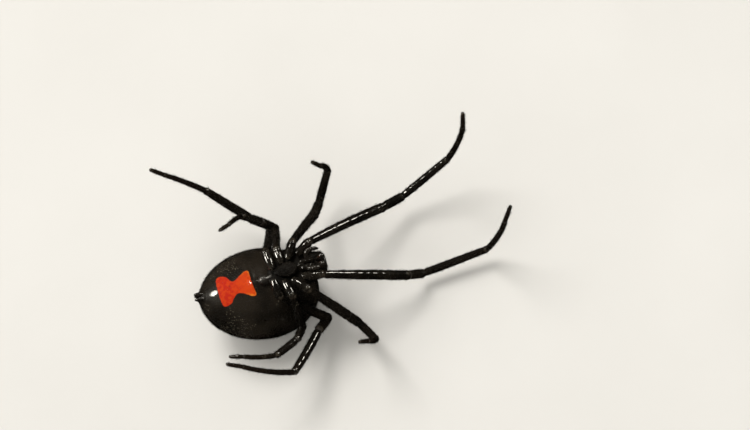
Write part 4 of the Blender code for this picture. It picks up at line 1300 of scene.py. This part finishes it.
LEGS = (
    Leg(Side.RIGHT, 1, (1.00, 1.08), (1.70, 1.56, 7.20),
        ((6.89, 25, -37.4), (1.70, 23, -25), (5.10, 12, 28), (6.70, -3, 65), (2.18, 22, 72))),
    Leg(Side.RIGHT, 2, (0.13, 1.04), (0.53, 1.90, 7.20),
        ((4.74, 67, -50.4), (1.50, 77, -45), (3.00, 45, 39), (3.90, -65, 76), (1.38, -167, 82))),
    Leg(Side.RIGHT, 3, (-0.58, 0.87), (-0.71, 1.78, 7.20),
        ((3.66, 100, -46.8), (1.25, 150, 59), (2.10, 166, 64), (2.90, -109, 64), (1.08, -137, 47))),
    Leg(Side.RIGHT, 4, (-1.32, 0.62), (-1.52, 1.75, 7.20),
        ((6.18, 97.4, -55.3), (1.80, 153, 53), (4.20, 136, 44), (5.20, 168, 73), (1.68, 171, 75))),
    Leg(Side.LEFT, 1, (1.10, -0.85), (2.10, -1.02, 7.20),
        ((6.82, -5.7, -39.9), (1.70, 19, -60), (5.10, 3, 4), (6.70, -7, 64), (2.18, 18, 61))),
    Leg(Side.LEFT, 2, (0.24, -1.02), (0.95, -1.80, 7.20),
        ((4.73, -44.2, -66.2), (1.50, -44, -69), (3.00, -57, 34), (3.90, -76, 73), (1.38, -135, 72))),
    Leg(Side.LEFT, 3, (-0.54, -0.98), (-0.27, -1.93, 7.25),
        ((3.65, -111.1, -63.3), (1.25, -112, 36), (2.10, -146, 29), (2.90, -175, 53), (1.08, 175, 42))),
    Leg(Side.LEFT, 4, (-1.32, -0.76), (-1.25, -1.64, 7.05),
        ((5.49, -28.1, -66.5), (1.63, -119.8, 43.8), (4.01, -124, 24.1), (5.20, 179, 62), (1.68, 177, 66))),
)


class Duty(Enum):
    """What a light is for: glints on polished shell alone, or the even wash over everything."""

    GLINT = "glint"
    WASH = "wash"


@dataclass(frozen=True)
class Lamp:
    """A soft round light, by the direction from the spider that it shines from."""

    name: str
    way: tuple[float, float, float]
    distance: float
    size: float
    power: float
    duty: Duty
    tint: tuple[float, float, float] = (1.0, 0.99, 0.97)

    def build(self, target: np.ndarray) -> None:
        """Hangs the light and turns it to the target, both in metres."""
        data = bpy.data.lights.new(self.name, "AREA")
        data.shape, data.size, data.energy, data.color = "DISK", self.size, self.power, self.tint
        back = unit(np.array(self.way))
        across, other = across_of(back)
        made = bpy.data.objects.new(self.name, data)
        made.visible_diffuse, made.visible_glossy = self.duty is Duty.WASH, self.duty is Duty.GLINT
        turn = np.eye(4)
        turn[:3, 0], turn[:3, 1], turn[:3, 2], turn[:3, 3] = across, other, back, target + back * self.distance
        made.matrix_world = Matrix(turn.tolist())
        bpy.context.scene.collection.objects.link(made)


# Tint of the lamps that make the glints.
WARM = (1.0, 0.95, 0.84)


@dataclass(frozen=True)
class Studio:
    """Pale floor, soft light from above and the camera where the photograph was taken from.

    The camera's place is in the measuring frame, and its two directions are unit vectors. The floor's half
    side is in metres, and the sky's colour has its own strength.
    """

    camera_place: tuple = (84.21, -113.32, 352.07)
    camera_right: tuple = (0.93689, -0.20932, -0.28003)
    camera_up: tuple = (0.28108, 0.92728, 0.24729)
    lens: float = 250.0
    sensor: float = 36.0
    floor_half: float = 3.0
    sky_colour: tuple = (0.86, 0.85, 0.82, 1.0)
    sky_strength: float = 0.66
    aim_height: float = 0.005
    lamps: tuple = (
        Lamp("key_glint", (-0.05, 0.50, 0.86), 0.35, 0.055, 0.50, Duty.GLINT, WARM),
        Lamp("side_glint", (0.78, 0.42, 0.45), 0.40, 0.100, 0.80, Duty.GLINT, WARM),
        Lamp("tail_glint", (-0.805, 0.264, 0.531), 0.40, 0.105, 1.60, Duty.GLINT, WARM),
        Lamp("soft_key", (-0.02, 0.42, 0.91), 0.50, 0.220, 1.40, Duty.WASH),
        Lamp("soft_box", (-0.35, 0.55, 0.76), 0.50, 0.300, 0.55, Duty.WASH),
        Lamp("fill_box", (0.10, -0.80, 0.55), 0.60, 0.360, 0.40, Duty.WASH, (0.96, 0.98, 1.0)),
    )

    def floor_finish(self) -> bpy.types.Material:
        """Pale matt paper with a hardly visible mottle."""
        made = bpy.data.materials.new("pale_floor")
        made.use_nodes = True
        wires = Wires(made.node_tree)
        shader = made.node_tree.nodes["Principled BSDF"]
        own = wires.node("ShaderNodeTexCoord").outputs["Object"]
        tone = wires.mix(wires.noise(own, 60.0, 4.0), (0.66, 0.64, 0.60, 1.0), (0.74, 0.72, 0.68, 1.0))
        wires.feed(shader.inputs["Base Color"], tone)
        shader.inputs["Roughness"].default_value = 0.85
        return made

    def build(self) -> None:
        """Makes the floor, the lights, the sky and the camera."""
        half = self.floor_half
        mesh = bpy.data.meshes.new("floor")
        mesh.from_pydata([(-half, -half, 0), (half, -half, 0), (half, half, 0), (-half, half, 0)], [], [(0, 1, 2, 3)])
        mesh.materials.append(self.floor_finish())
        floor = bpy.data.objects.new("floor", mesh)
        bpy.context.scene.collection.objects.link(floor)
        floor.visible_glossy = False
        target = np.array((0.0, 0.0, self.aim_height))
        for lamp in self.lamps:
            lamp.build(target)
        sky = bpy.data.worlds.new("sky")
        sky.use_nodes = True
        background = sky.node_tree.nodes["Background"]
        background.inputs["Color"].default_value = self.sky_colour
        background.inputs["Strength"].default_value = self.sky_strength
        sky.cycles_visibility.glossy = False
        bpy.context.scene.world = sky
        lens = bpy.data.cameras.new("camera")
        lens.lens, lens.sensor_width = self.lens, self.sensor
        lens.clip_start, lens.clip_end = 0.01, 20.0
        right, up = unit(np.array(self.camera_right)), np.array(self.camera_up)
        back = unit(np.cross(right, up))
        turn = np.eye(4)
        turn[:3, 0], turn[:3, 1], turn[:3, 2] = right, np.cross(back, right), back
        turn[:3, 3] = (np.array(self.camera_place) - MIDDLE) * MM
        camera = bpy.data.objects.new("camera", lens)
        camera.matrix_world = Matrix(turn.tolist())
        bpy.context.scene.collection.objects.link(camera)
        bpy.context.scene.camera = camera
        bpy.context.scene.view_settings.view_transform = "Standard"


def main() -> None:
    """Builds the spider from its abdomen forwards, then the studio."""
    logging.basicConfig(level=logging.INFO, format="%(name)s: %(message)s")
    finishes = Wardrobe.build()
    abdomen = Abdomen()
    abdomen.build(finishes)
    Spinnerets(abdomen).build(finishes)
    Prosoma().build(finishes)
    Jaws().build(finishes)
    Palps().build(finishes)
    for leg in LEGS:
        leg.build(finishes)
    Studio().build()


if __name__ == "__main__":
    main()
